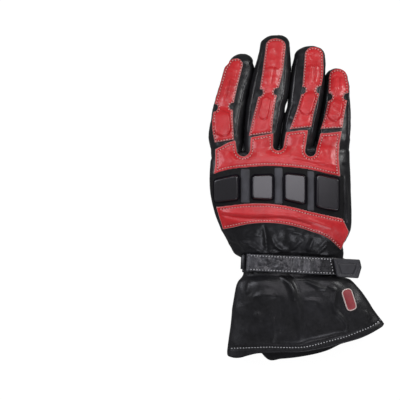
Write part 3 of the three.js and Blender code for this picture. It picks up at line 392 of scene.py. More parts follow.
class GloveSettings(bpy.types.PropertyGroup):
    """Sizes and colours of the glove that a user would change."""

    black_hollows: bpy.props.FloatVectorProperty(
        name="Black, hollows", description="Darkest tone of the black leather", subtype="COLOR",
        default=linear("#151516")[:3])
    black_middle: bpy.props.FloatVectorProperty(
        name="Black, middle", description="Main tone of the black leather", subtype="COLOR",
        default=linear("#19191b")[:3])
    black_crests: bpy.props.FloatVectorProperty(
        name="Black, crests", description="Lightest tone of the black leather", subtype="COLOR",
        default=linear("#202023")[:3])
    red_hollows: bpy.props.FloatVectorProperty(
        name="Red, hollows", description="Darkest tone of the red leather", subtype="COLOR",
        default=linear("#ae161c")[:3])
    red_middle: bpy.props.FloatVectorProperty(
        name="Red, middle", description="Main tone of the red leather", subtype="COLOR",
        default=linear("#bf1d23")[:3])
    red_crests: bpy.props.FloatVectorProperty(
        name="Red, crests", description="Lightest tone of the red leather", subtype="COLOR",
        default=linear("#cb272c")[:3])
    camera_x: bpy.props.FloatProperty(
        name="Camera X", description="Middle of the view across", default=-0.08945, unit="LENGTH")
    camera_y: bpy.props.FloatProperty(
        name="Camera Y", description="Middle of the view along the glove", default=-0.0028, unit="LENGTH")
    view_width: bpy.props.FloatProperty(
        name="View width", description="What the camera sees across", default=0.37, unit="LENGTH")
    wall: bpy.props.FloatProperty(
        name="Wall", description="Thickness of leather and lining", default=0.0022, unit="LENGTH")
    panel_height: bpy.props.FloatProperty(
        name="Panel height", description="Red leather and its foam above the black", default=0.0022,
        unit="LENGTH")
    band_height: bpy.props.FloatProperty(
        name="Band height", description="Black leather band above the hand", default=0.0014, unit="LENGTH")
    pad_height: bpy.props.FloatProperty(
        name="Pad height", description="Knuckle pads above their band", default=0.0042, unit="LENGTH")
    strap_width: bpy.props.FloatProperty(
        name="Strap width", description="Width of the wrist strap", default=0.0158, unit="LENGTH")
    strap_thickness: bpy.props.FloatProperty(
        name="Strap thickness", description="Thickness of the wrist strap", default=0.0015, unit="LENGTH")
    stitch_red: bpy.props.FloatProperty(
        name="Stitch on red", description="Length from stitch to stitch on red leather", default=0.0026,
        unit="LENGTH")
    stitch_black: bpy.props.FloatProperty(
        name="Stitch on black", description="Length from stitch to stitch on black leather", default=0.0027,
        unit="LENGTH")
    thread: bpy.props.FloatProperty(
        name="Thread", description="Radius of the sewing thread", default=0.0005, unit="LENGTH")


# Numbers and lines

def through(places, values, at):
    """Values at the places `at` of the smooth line through the given points, whose places rise."""
    places = np.asarray(places, float)
    values = np.asarray(values, float)
    at = np.clip(np.asarray(at, float), places[0], places[-1])
    k = np.clip(np.searchsorted(places, at) - 1, 0, len(places) - 2)
    width = places[k + 1] - places[k]
    t = (at - places[k]) / width
    slope = np.gradient(values, places)
    rise = t * t * (3 - 2 * t)
    bend = t * (1 - t) * width * (slope[k] * (1 - t) - slope[k + 1] * t)
    return values[k] * (1 - rise) + values[k + 1] * rise + bend


def column(rows, name, at, by="y"):
    """A named column of a table, at places of another column that rises."""
    return through([getattr(row, by) for row in rows], [getattr(row, name) for row in rows], at)


def smooth_step(value, start, end):
    """From 0 at the start to 1 at the end, without a corner."""
    t = np.clip((np.asarray(value, float) - start) / (end - start), 0, 1)
    return t * t * (3 - 2 * t)


def oval(turn, half_width, half_height, square):
    """Points of an oval, where a square of 2 is an ellipse and more is squarer."""
    across = np.sign(np.cos(turn)) * np.abs(np.cos(turn)) ** (2 / square)
    up = np.sign(np.sin(turn)) * np.abs(np.sin(turn)) ** (2 / square)
    return half_width * across, half_height * up


def line_distance(x, y, line, closed=False):
    """Distance of each point to a line of points seen from above, and where along the line it is nearest."""
    line = np.asarray(line, float)
    ends = np.roll(line, -1, axis=0) if closed else line[1:]
    starts = line if closed else line[:-1]
    best = np.full(np.shape(x), 1e9)
    place = np.zeros(np.shape(x))
    for k, (start, end) in enumerate(zip(starts, ends)):
        way = end - start
        t = ((x - start[0]) * way[0] + (y - start[1]) * way[1]) / max(way @ way, 1e-9)
        t = np.clip(t, 0, 1)
        away = np.hypot(x - start[0] - t * way[0], y - start[1] - t * way[1])
        nearer = away < best
        best = np.where(nearer, away, best)
        place = np.where(nearer, (k + t) / len(starts), place)
    return best, place


def fold_height(folds, x, y):
    """Height that soft folds add at each point, fading out at the folds' ends."""
    total = np.zeros(np.shape(x))
    for fold in folds:
        line = spline(fold.line, 4)
        away, place = line_distance(x, y, line)
        fade = 0.35 + 0.65 * np.sin(np.pi * np.clip(place, 0, 1)) ** 0.6
        total += fold.height * fade * np.exp(-((away / (fold.breadth * fade)) ** 2))
    return total


def spline(points, steps):
    """More points on the smooth line through a few."""
    points = np.asarray(points, float)
    if len(points) < 3:
        return points
    places = np.arange(len(points))
    at = np.linspace(0, len(points) - 1, (len(points) - 1) * steps + 1)
    return np.column_stack([through(places, points[:, axis], at) for axis in range(points.shape[1])])


def rough(points, size, octaves=3, seed=0.0):
    """Soft noise between about -1 and 1 at points in millimetres, with lumps of the given size."""
    shift = Vector((seed, seed * 1.7, seed * 0.3))
    values = [noise.fractal(Vector(p) / size + shift, 0.6, 2.1, octaves) for p in points]
    return np.array(values)


def creased(points, size, seed=0.0):
    """Sharp leather creases between 0 and about 1."""
    noise.seed_set(CREASE_SEED)  # noise_vector would otherwise differ from run to run
    shift = Vector((seed, seed * 1.7, seed * 0.3))
    bent = [Vector(p) / size + shift for p in points]
    soft = [p + 0.5 * noise.noise_vector(p * 0.7) for p in bent]
    return np.array([1 - min(1.0, 3.2 * abs(noise.noise(p))) for p in soft])


# Outlines seen from above

def arc(x, y, radius, start, end, steps=12):
    """Points on a round stretch, with its angles in degrees."""
    angles = np.radians(np.linspace(start, end, steps + 1))
    return np.column_stack([x + radius * np.cos(angles), y + radius * np.sin(angles)])


def rounded(corners, radius):
    """A closed outline with its corners rounded."""
    corners = np.asarray(corners, float)
    outline = []
    for before, corner, after in zip(np.roll(corners, 1, axis=0), corners, np.roll(corners, -1, axis=0)):
        sides = np.linalg.norm(before - corner), np.linalg.norm(after - corner)
        back, ahead = (before - corner) / sides[0], (after - corner) / sides[1]
        half = math.acos(np.clip(back @ ahead, -1, 1)) / 2
        reach = min(radius / math.tan(half), CORNER_SHARE * min(sides))
        for t in np.linspace(0, 1, 7):
            outline.append(corner + back * reach * (1 - t) ** 2 + ahead * reach * t ** 2)
    return np.array(outline)


def evenly(outline, step, closed=True):
    """The same line with its points an even step apart."""
    outline = np.asarray(outline, float)
    if closed:
        outline = np.vstack([outline, outline[:1]])
    lengths = np.concatenate([[0], np.cumsum(np.linalg.norm(np.diff(outline, axis=0), axis=1))])
    count = max(2, int(round(lengths[-1] / step)))
    at = np.linspace(0, lengths[-1], count + 1)
    if closed:
        at = at[:-1]
    return np.column_stack([np.interp(at, lengths, outline[:, axis]) for axis in range(outline.shape[1])])


def is_inside(x, y, outline):
    """Whether each point lies inside a closed outline."""
    inside = np.zeros(np.shape(x), bool)
    for (x1, y1), (x2, y2) in zip(outline, np.roll(outline, -1, axis=0)):
        if y1 == y2:
            continue
        crosses = (y1 > y) != (y2 > y)
        inside ^= crosses & (x < x1 + (x2 - x1) * (y - y1) / (y2 - y1))
    return inside


def seam_line(name, left, right, shift=0.0, step=3.0):
    """A seam across the back from left to right."""
    x = np.linspace(left, right, max(2, int(abs(right - left) / step)))
    return np.column_stack([x, column(SEAMS, name, x, by="x") + shift])


def finger_outline(finger):
    """A finger panel: a strip with a slanted rear end, a round tip and a notch bitten out of each side.

    It stays on the back of its finger, as seen from above."""
    rear = finger.strip[0].y
    y = np.linspace(rear, finger.panel_tip, 240)
    x = column(finger.strip, "x", y)
    half = column(finger.strip, "half", y)
    rounding = TIP_SHARE * finger.strip[-1].half
    near_tip = np.clip((y - finger.panel_tip + rounding) / rounding, 0, 1)
    half = half * np.sqrt(1 - near_tip ** finger.square)
    slant = finger.slant * half * (finger.panel_tip - y) / (finger.panel_tip - rear)
    along = y - finger.notch_y
    bite = np.sqrt(np.clip(NOTCH_RADIUS ** 2 - along ** 2, 0, None))
    bite = bite * smooth_step(NOTCH_RADIUS - np.abs(along), 0, NOTCH_MOUTH)
    half = half - NOTCH_DEPTH * bite
    rows = finger_rows(finger)
    past = np.clip((y - rows[-1].y) / finger.tip, 0, 0.98)
    spine = column(rows, "x", y)
    reach = column(rows, "half_width", y) * np.sqrt(1 - past ** 2) - PANEL_MARGIN
    left = np.column_stack([np.maximum(x - half, spine - reach), y - slant])
    right = np.column_stack([np.minimum(x + half, spine + reach), y + slant])
    return np.vstack([right, left[::-1]])


def notch_line(notch):
    """One round notch of the knuckle panel, from its right mouth round its end to its left mouth."""
    middle = notch.x + notch.lean * NOTCH_LENGTH
    half = notch.radius + notch.flare * NOTCH_LENGTH
    mouths = [(middle + side * half, notch.y + NOTCH_LENGTH) for side in (1, -1)]
    return np.vstack([mouths[:1], arc(notch.x, notch.y, notch.radius, 0, -180, 14), mouths[1:]])


def knuckle_outline():
    """The knuckle panel, with its three notches between the fingers."""
    rear = seam_line("knuckle", -76.5, 40.2, 0.15)
    front = evenly(spline(KNUCKLE_FRONT[::-1], 4), 0.5, closed=False)
    for notch in NOTCHES[::-1]:
        cut = notch_line(notch)
        hidden = is_inside(front[:, 0], front[:, 1], cut)
        first = int(np.argmax(hidden))
        last = len(hidden) - int(np.argmax(hidden[::-1]))
        level = (front[first, 1] + front[last - 1, 1]) / 2
        side = evenly(cut, 0.5, closed=False)
        side = side[side[:, 1] < level]
        front = np.vstack([front[:first], side, front[last:]])
    return np.vstack([rear, KNUCKLE_RIGHT[::-1], front, KNUCKLE_LEFT[::-1]])


def wrist_outline():
    """The red band across the back of the hand, between its two seams."""
    rear = seam_line("wrist", WRIST_LEFT[-1][0], WRIST_RIGHT[0][0])
    front = seam_line("band", WRIST_LEFT[0][0], WRIST_RIGHT[-1][0], -0.15)[::-1]
    return np.vstack([rear, spline(WRIST_RIGHT, 4), front, WRIST_LEFT])


def band_outline():
    """The black band runs a little under both red panels, and to the hand's side on the left."""
    rear = seam_line("band", -76.4, 43.2, -BAND_UNDER)
    front = seam_line("knuckle", -78.0, 43.2, BAND_UNDER)[::-1]
    y = np.linspace(front[-1, 1], rear[0, 1], 12)[1:-1]
    side = np.column_stack([column(HAND, "left", y) + BAND_SIDE, y])
    return np.vstack([rear, front, side])


def channel_outline(left, right):
    """A suede strip between two knuckle pads, from seam to seam."""
    middle = (left + right) / 2
    rear = float(column(SEAMS, "band", middle, by="x")) + SUEDE_CLEAR
    front = float(column(SEAMS, "knuckle", middle, by="x")) - SUEDE_CLEAR
    return rounded([(left, rear), (right, rear - 0.4), (right, front - 0.3), (left, front)], SUEDE_CORNER)


def pad_outline(pad):
    """A knuckle pad's outline: a rounded box whose ends follow the seams beside it."""
    middle = (pad.left + pad.right) / 2

    def bend(name, x):
        return float(column(SEAMS, name, x, by="x") - column(SEAMS, name, middle, by="x"))

    corners = [
        (pad.left, pad.rear + bend("band", pad.left)),
        (pad.right, pad.rear + bend("band", pad.right)),
        (pad.right, pad.front + bend("knuckle", pad.right)),
        (pad.left, pad.front + bend("knuckle", pad.left)),
    ]
    return rounded(corners, PAD_CORNER)


# Meshes

def finish_piece(piece, materials, replaces=()):
    """Gives a new piece its materials and smooth shading, puts it on its body, and hides the solids that it
    replaces.
    """
    for name in materials:
        piece.data.materials.append(bpy.data.materials[name])
    piece.data.shade_smooth()
    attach(piece, "root")
    if replaces:
        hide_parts(*replaces)


def finish_skin(piece, thickness, replaces=()):
    """Lines a piece of black leather: its inner wall is tricot."""
    wall = piece.modifiers.new("Wall", "SOLIDIFY")
    wall.thickness = thickness
    wall.offset = -1
    wall.material_offset = 1
    wall.material_offset_rim = 0
    finish_piece(piece, ["black_cowhide", "tricot_lining"], replaces)


def new_piece(name, bm):
    """A mesh object made of a bmesh, which is used up."""
    mesh = bpy.data.meshes.new(name)
    bm.to_mesh(mesh)
    bm.free()
    piece = bpy.data.objects.new(name, mesh)
    bpy.context.scene.collection.objects.link(piece)
    return piece


def read(mesh):
    """A mesh's points in millimetres, one row each."""
    flat = np.empty(len(mesh.vertices) * 3)
    mesh.vertices.foreach_get("co", flat)
    return flat.reshape(-1, 3) / MM


def write(mesh, points):
    """Puts a mesh's points where the given ones are, in millimetres."""
    mesh.vertices.foreach_set("co", (np.asarray(points) * MM).ravel())
    mesh.update()


def directions(mesh):
    """A mesh's normals, one row for each point."""
    flat = np.empty(len(mesh.vertices) * 3)
    mesh.vertex_normals.foreach_get("vector", flat)
    return flat.reshape(-1, 3)


def keep_column(mesh, name, values):
    """Keeps a number for each point, for a material to read."""
    layer = mesh.attributes.new(name, "FLOAT", "POINT")
    layer.data.foreach_set("value", np.asarray(values, float))


def soften(mesh, values, times, share=0.5):
    """Evens out a number over the mesh's neighbours, and holds the rim."""
    flat = np.empty(len(mesh.edges) * 2, int)
    mesh.edges.foreach_get("vertices", flat)
    a, b = flat.reshape(-1, 2).T
    count = len(mesh.vertices)
    degree = np.maximum(np.bincount(a, minlength=count) + np.bincount(b, minlength=count), 1)
    for _ in range(times):
        around = (np.bincount(a, values[b], count) + np.bincount(b, values[a], count)) / degree
        values = values + share * (around - values)
    return values


def tube_piece(name, around, along, place):
    """A sheet of cells closed round into a tube. place(turn, share) gives its points in millimetres."""
    bm = bmesh.new()
    bmesh.ops.create_grid(bm, x_segments=around, y_segments=along, size=0.5)
    piece = new_piece(name, bm)
    unit = read(piece.data) * MM
    turn = 2 * np.pi * (unit[:, 0] + 0.5) - np.pi / 2
    write(piece.data, place(turn, unit[:, 1] + 0.5))
    bm = bmesh.new()
    bm.from_mesh(piece.data)
    bmesh.ops.remove_doubles(bm, verts=bm.verts, dist=2 * WELD)
    bmesh.ops.recalc_face_normals(bm, faces=bm.faces)
    bm.to_mesh(piece.data)
    bm.free()
    return piece


def cord_piece(name, path, radius):
    """A thin round cord along a path of points in millimetres."""
    ahead = np.gradient(path, axis=0)
    ahead /= np.linalg.norm(ahead, axis=1)[:, None]
    side = np.cross(ahead, (0, 0, 1))
    side /= np.linalg.norm(side, axis=1)[:, None]
    up = np.cross(side, ahead)
    count = len(path) - 1

    def place(turn, share):
        k = np.clip(np.round(share * count).astype(int), 0, count)
        thin = radius * np.sin(np.pi * np.clip(share, 0.0, 1.0)) ** 0.25
        return path[k] + side[k] * (np.cos(turn) * thin)[:, None] + up[k] * (np.sin(turn) * thin)[:, None]

    return tube_piece(name, around=8, along=count, place=place)


def surface_of(*names):
    """What rays and nearest points find on the named pieces as they are shown."""
    graph = bpy.context.evaluated_depsgraph_get()
    bm = bmesh.new()
    for name in names:
        bm.from_object(bpy.data.objects[name], graph)
    tree = BVHTree.FromBMesh(bm)
    bm.free()
    return tree


def drape(points, tree):
    """Points in millimetres brought straight down onto a surface."""
    result = np.empty((len(points), 3))
    for k, (x, y) in enumerate(points[:, :2]):
        start = Vector((x * MM, y * MM, HIGH))
        hit = tree.ray_cast(start, -UP)[0]
        if hit is None:
            hit = tree.find_nearest(Vector((x * MM, y * MM, 0.03)))[0]
        result[k] = hit / MM
    return result


def plate_piece(name, outline, tree, cell, height, thickness, ease=30, lowest=0.3):
    """A padded plate with the given outline, laid over a surface. height(points, distance) is above it.

    Its cells have the given size. ease is how often its base is evened out, and lowest how far that base may
    sink into the surface. The column "rim" keeps each point's distance to the outline. Lengths are in
    millimetres."""
    outline = evenly(outline, cell * 0.7)
    low, high = outline.min(axis=0) - cell, outline.max(axis=0) + cell
    cells = np.ceil((high - low) / cell).astype(int)
    # A grid over the outline keeps its points inside and those just outside.
    bm = bmesh.new()
    bmesh.ops.create_grid(bm, x_segments=int(cells[0]), y_segments=int(cells[1]), size=0.5)
    flat = np.array([v.co[:2] for v in bm.verts]) + 0.5
    flat = low + flat * (cells * cell)
    inside = is_inside(flat[:, 0], flat[:, 1], outline)
    away, _ = line_distance(flat[:, 0], flat[:, 1], outline, closed=True)
    keep = inside | (away < 0.45 * cell)
    for vert, place in zip(bm.verts, flat):
        vert.co = (place[0] * MM, place[1] * MM, 0)
    dropped = [vert for vert, kept in zip(bm.verts, keep) if not kept]
    bmesh.ops.delete(bm, geom=dropped, context="VERTS")
    loose = [vert for vert in bm.verts if not vert.link_faces]
    bmesh.ops.delete(bm, geom=loose, context="VERTS")
    # Its rim moves onto the outline, and the cells beside it even out.
    rim = [vert for vert in bm.verts if vert.is_boundary]
    closed = np.vstack([outline, outline[:1]])
    for vert in rim:
        spot = np.array(vert.co[:2]) / MM
        way = closed[1:] - closed[:-1]
        t = np.clip(((spot - closed[:-1]) * way).sum(axis=1) / (way ** 2).sum(axis=1), 0, 1)
        near = closed[:-1] + way * t[:, None]
        best = near[np.argmin(((near - spot) ** 2).sum(axis=1))]
        vert.co = (best[0] * MM, best[1] * MM, 0)
    inner = [vert for vert in bm.verts if not vert.is_boundary]
    for _ in range(3):
        bmesh.ops.smooth_vert(bm, verts=inner, factor=0.4, use_axis_x=True, use_axis_y=True)
    bmesh.ops.recalc_face_normals(bm, faces=bm.faces)
    if sum(face.normal.z for face in bm.faces) < 0:
        bmesh.ops.reverse_faces(bm, faces=bm.faces)
    piece = new_piece(name, bm)
    mesh = piece.data
    points = read(mesh)
    # The sheet falls onto the surface, bridges its small hollows, and then grows to its height.
    base = drape(points, tree)
    soft = soften(mesh, base[:, 2], ease)
    points[:, 2] = np.maximum(soft, base[:, 2] - lowest)
    write(mesh, points)
    normals = directions(mesh)
    for axis in range(3):
        normals[:, axis] = soften(mesh, normals[:, axis], 6)
    distance, _ = line_distance(points[:, 0], points[:, 1], outline, closed=True)
    rise = height(points, distance)
    write(mesh, points + normals * rise[:, None])
    keep_column(mesh, "rim", distance)
    wall = piece.modifiers.new("Wall", "SOLIDIFY")
    wall.thickness = thickness * MM
    wall.offset = -1
    return piece


def rounded_rim(distance, height, radius):
    """A plate's height, rounded down towards its rim."""
    near = np.clip(1 - distance / radius, 0, 1)
    return height - radius + radius * np.sqrt(np.clip(1 - near ** 2, 0, 1))


def inset_line(outline, inset, step=0.5):
    """The line that runs inside a closed outline at an even distance."""
    outline = evenly(outline, step)
    ahead = np.roll(outline, -1, axis=0) - np.roll(outline, 1, axis=0)
    length = np.maximum(np.linalg.norm(ahead, axis=1), 1e-9)
    area = np.sum(outline[:, 0] * np.roll(outline[:, 1], -1) - np.roll(outline[:, 0], -1) * outline[:, 1])
    side = np.column_stack([-ahead[:, 1], ahead[:, 0]]) / length[:, None] * np.sign(area)
    line = outline + side * inset
    away, _ = line_distance(line[:, 0], line[:, 1], outline, closed=True)
    return line[(away > inset * 0.96) & is_inside(line[:, 0], line[:, 1], outline)]


STITCH_RISE = 0.35  # a stitch's middle lies this much of its radius above the leather
STEEPEST = 0.15  # leather whose normal rises less than this gets no stitches
STRETCH = (0.2, 2.5)  # of the pitch: where the line bunches up or jumps there is no stitch


def sew(bm, line, tree, pitch, radius, share=0.54, closed=True, between=False):
    """Stitches along a line seen from above, laid on a surface, or the dark dots between them: painted shade
    in the needle holes.
    """
    places = evenly(line, pitch, closed)
    if between:
        places = (places + np.roll(places, -1, axis=0)) / 2
        places = places if closed else places[:-1]
    if closed:
        ways = np.roll(places, -1, axis=0) - places
    else:
        ways = np.gradient(places, axis=0)
    for (x, y), (way_x, way_y) in zip(places, ways):
        stretch = math.hypot(way_x, way_y)
        if stretch > STRETCH[1] * pitch or stretch < STRETCH[0] * pitch:
            continue
        hit, normal, _, _ = tree.ray_cast(Vector((x * MM, y * MM, HIGH)), -UP)
        if hit is None or normal.z < STEEPEST:
            continue
        ahead = Vector((way_x, way_y, 0)).normalized()
        ahead = (ahead - normal * ahead.dot(normal)).normalized()
        turn = Matrix((ahead, normal.cross(ahead), normal)).transposed().to_4x4()
        size = Matrix.Diagonal((pitch * MM * share / 2, radius * MM, radius * MM, 1))
        place = Matrix.Translation(hit + normal * radius * MM * STITCH_RISE) @ turn @ size
        place = place @ Matrix.Rotation(math.pi / 2, 4, "Y")
        bmesh.ops.create_uvsphere(bm, u_segments=6, v_segments=5, radius=1, matrix=place)


# Materials

def add(tree, kind, inputs=None, **settings):
    """Adds a node with its settings. An input is a value, or a node and the name of its output."""
    made = tree.nodes.new(kind)
    for name, value in settings.items():
        setattr(made, name, value)
    for name, value in (inputs or {}).items():
        if isinstance(value, tuple) and isinstance(value[0], bpy.types.Node):
            tree.links.new(value[0].outputs[value[1]], made.inputs[name])
        else:
            made.inputs[name].default_value = value
    return made


def new_material(name):
    """The empty node tree of a new material."""
    material = bpy.data.materials.new(name)
    material.use_nodes = True
    material.node_tree.nodes.clear()
    return material.node_tree


def tones(*codes):
    """Several sRGB hex colours as linear values."""
    return [linear(code) for code in codes]


def tinted(tree, tone, colours, first, last, edge=None):
    """Colours from hollows to crests between two values of a tone, and another colour near the rim.

    edge holds that colour, its share, and how far from the rim it is still full and already gone."""
    ramp = add(tree, "ShaderNodeValToRGB", {"Fac": tone})
    elements = ramp.color_ramp.elements
    while len(elements) < len(colours):
        elements.new(0.5)
    for k, (element, colour) in enumerate(zip(elements, colours)):
        element.position = first + (last - first) * k / (len(colours) - 1)
        element.color = colour
    if not edge:
        return ramp, "Color"
    colour, share, full, none = edge
    rim = add(tree, "ShaderNodeAttribute", attribute_name="rim")
    near = add(tree, "ShaderNodeMapRange", {
        "Value": (rim, "Fac"), "From Min": full, "From Max": none, "To Min": share, "To Max": 0.0})
    mixed = add(tree, "ShaderNodeMix", {
        "Factor": (near, "Result"), "A": (ramp, "Color"), "B": colour}, data_type="RGBA")
    return mixed, "Result"


# Sizes of the patterns in millimetres: leather's clouds of tone, its finer mottling and its creases, and the
# mottling of moulded things
CLOUD = 28
MOTTLE = 3.5
CREASE = 7
FLOW = 6


def leather(name, colours, roughness, grain, pale_edge=None, coat=0.0, crease=0.5, strength=0.25,
            specular=0.5, dull_rim=0):
    """Coated leather: colours from its hollows to its crests, a pebble grain and fine creases.

    grain is the size of its pebbles in millimetres. Real ones are 0.3 to 0.5 mm across, which is too fine
    to show in the render, so these are about twice as coarse. pale_edge colours the cut edge. dull_rim is
    how far in from a plate's edge its shine begins."""
    tree = new_material(name)
    spot = (add(tree, "ShaderNodeTexCoord"), "Object")
    cloud = add(tree, "ShaderNodeTexNoise", {
        "Vector": spot, "Scale": 1 / (CLOUD * MM), "Detail": 4.0, "Roughness": 0.6})
    fine = add(tree, "ShaderNodeTexNoise", {
        "Vector": spot, "Scale": 1 / (MOTTLE * MM), "Detail": 5.0, "Roughness": 0.65})
    mixed = add(tree, "ShaderNodeMath", {0: (cloud, "Fac"), 1: 0.8}, operation="MULTIPLY")
    mixed = add(tree, "ShaderNodeMath", {
        0: (fine, "Fac"), 1: 0.2, 2: (mixed, "Value")}, operation="MULTIPLY_ADD")
    edge = (pale_edge, 0.85, 0.2, 0.75) if pale_edge else None
    colour = tinted(tree, (mixed, "Value"), colours, 0.32, 0.68, edge)
    pebbles = add(tree, "ShaderNodeTexVoronoi", {
        "Vector": spot, "Scale": 1 / (grain * MM), "Randomness": 1.0}, feature="DISTANCE_TO_EDGE")
    pebbles = add(tree, "ShaderNodeMapRange", {
        "Value": (pebbles, "Distance"), "From Min": 0.0, "From Max": 0.25})
    bent = add(tree, "ShaderNodeTexNoise", {
        "Vector": spot, "Scale": 1 / (CREASE * MM), "Detail": 6.0, "Roughness": 0.7, "Distortion": 0.8})
    folds = add(tree, "ShaderNodeMath", {0: (bent, "Fac"), 1: crease}, operation="MULTIPLY")
    relief = add(tree, "ShaderNodeMath", {
        0: (pebbles, "Result"), 1: 0.12, 2: (folds, "Value")}, operation="MULTIPLY_ADD")
    bump = add(tree, "ShaderNodeBump", {
        "Strength": strength, "Distance": 0.9 * MM, "Height": (relief, "Value")})
    shine = add(tree, "ShaderNodeMapRange", {
        "Value": (fine, "Fac"), "From Min": 0.3, "From Max": 0.7,
        "To Min": roughness - 0.3 * strength, "To Max": roughness + 0.4 * strength})
    shader = add(tree, "ShaderNodeBsdfPrincipled", {
        "Base Color": colour,
        "Roughness": (shine, "Result"),
        "IOR": 1.5,
        "Specular IOR Level": specular,
        "Coat Weight": coat,
        "Coat Roughness": 0.2,
        "Normal": (bump, "Normal"),
    })
    if dull_rim:
        rim = add(tree, "ShaderNodeAttribute", attribute_name="rim")
        for socket, full in (("Specular IOR Level", specular), ("Coat Weight", coat)):
            share = add(tree, "ShaderNodeMapRange", {
                "Value": (rim, "Fac"), "From Min": 0.6 * dull_rim, "From Max": dull_rim,
                "To Min": 0.1 * full, "To Max": full})
            tree.links.new(share.outputs["Result"], shader.inputs[socket])
    add(tree, "ShaderNodeOutputMaterial", {"Surface": (shader, "BSDF")})


def moulded(name, colours, roughness, grain, edge=None):
    """Moulded rubber or plastic, thread and cloth: even colour, faint mottling and a fine eroded grain.

    grain is in millimetres. A real one is about 0.1 mm, and is drawn coarser so that it shows."""
    tree = new_material(name)
    spot = (add(tree, "ShaderNodeTexCoord"), "Object")
    cloud = add(tree, "ShaderNodeTexNoise", {
        "Vector": spot, "Scale": 1 / (FLOW * MM), "Detail": 4.0, "Roughness": 0.6})
    colour = tinted(tree, (cloud, "Fac"), colours, 0.35, 0.65, edge)
    grit = add(tree, "ShaderNodeTexNoise", {
        "Vector": spot, "Scale": 1 / (grain * MM), "Detail": 3.0, "Roughness": 0.6})
    bump = add(tree, "ShaderNodeBump", {"Strength": 0.25, "Distance": 0.15 * MM, "Height": (grit, "Fac")})
    shine = add(tree, "ShaderNodeMapRange", {
        "Value": (cloud, "Fac"), "From Min": 0.3, "From Max": 0.7,
        "To Min": roughness - 0.05, "To Max": roughness + 0.06})
    shader = add(tree, "ShaderNodeBsdfPrincipled", {
        "Base Color": colour, "Roughness": (shine, "Result"), "IOR": 1.5, "Normal": (bump, "Normal")})
    add(tree, "ShaderNodeOutputMaterial", {"Surface": (shader, "BSDF")})


def make_materials(settings):
    """Every material of the glove."""
    black = settings.black_hollows, settings.black_middle, settings.black_crests
    black = [(*tone, 1.0) for tone in black]
    red = settings.red_hollows, settings.red_middle, settings.red_crests
    red = [(*tone, 1.0) for tone in red]
    # Black cowhide, chrome tanned with a glossy finish: fine pebbles, soft creases, soft highlights.
    leather("black_cowhide", black, roughness=0.35, grain=0.9, coat=0.08, crease=0.7, specular=0.3)
    # The same leather on the strap, bent each time that it is fastened: crinkled and worn grey. Its paler
    # grey is partly wear and partly painted sheen, and on the pipings it is a painted highlight.
    leather("rubbed_cowhide", tones("#151517", "#29292c", "#434347"), roughness=0.3, grain=0.9, coat=0.15,
            crease=0.5)
    # Red cowhide with a satin coat over thin foam, paler where it is cut: its undyed core shows there.
    leather("red_cowhide", red, roughness=0.4, grain=0.9, pale_edge=linear("#bb928e"), coat=0.22, crease=0.4,
            strength=0.15)
    # The same black leather pressed hot over hard foam: smooth and shiny, but dull in the groove round it.
    leather("moulded_cowhide", tones("#0e0c10", "#121015", "#17141a"), roughness=0.29, grain=0.8, coat=0.66,
            crease=0, strength=0, dull_rim=1.5)
    # The flat black leather under the pads, worn matt: hardly any highlight.
    leather("matt_cowhide", tones("#0b0b0c", "#0e0e0f", "#121213"), roughness=0.66, grain=0.8, crease=0.2,
            specular=0.2)
    # Black suede split between the pads: its loose fibres look grey and matt.
    leather("suede_split", tones("#343437", "#414145", "#505055"), roughness=0.85, grain=0.7, crease=0.6)
    # Injection moulded rubber of the pull tab: an even dark grey with a dull shine.
    moulded("matt_tab_rubber", tones("#26262a", "#2e2e32"), roughness=0.5, grain=0.5)
    # Black nylon of the ring, moulded and polished: a small sharp highlight.
    moulded("black_nylon", tones("#0e0e10", "#141416"), roughness=0.32, grain=0.6)
    # Painted shade of the needle holes between the stitches: dark, matt dots.
    moulded("needle_hole", tones("#0a0707", "#120c0c"), roughness=0.9, grain=0.5)
    # Soft moulded rubber of the patch, with a pale raised rim.
    pale_rim = linear("#c4b2ac"), 1.0, 0.85, 1.15
    moulded("soft_patch_rubber", tones("#7e262c", "#8f2e34"), roughness=0.5, grain=0.5, edge=pale_rim)
    # Bonded polyester thread, twisted and waxed: light grey on black leather and pinkish on red.
    moulded("grey_thread", tones("#a4a4a6", "#bcbcbe"), roughness=0.6, grain=0.4)
    moulded("rose_thread", tones("#c69a95", "#d4aca8"), roughness=0.6, grain=0.4)
    # Brushed tricot of the lining, seen only in the mouth: dark and matt.
    moulded("tricot_lining", tones("#1b1b1d", "#29292c"), roughness=0.9, grain=0.5)


# Stage

def area_light(name, place, target, size, power, colour="#ffffff"):
    """A soft box that faces its target, in metres and watts."""
    light = bpy.data.lights.new(name, "AREA")
    light.shape = "RECTANGLE"
    light.size = size[0]
    light.size_y = size[1]
    light.energy = power
    light.color = linear(colour)[:3]
    lamp = bpy.data.objects.new(name, light)
    lamp.location = place
    lamp.rotation_euler = (Vector(target) - Vector(place)).to_track_quat("-Z", "Y").to_euler()
    bpy.context.scene.collection.objects.link(lamp)


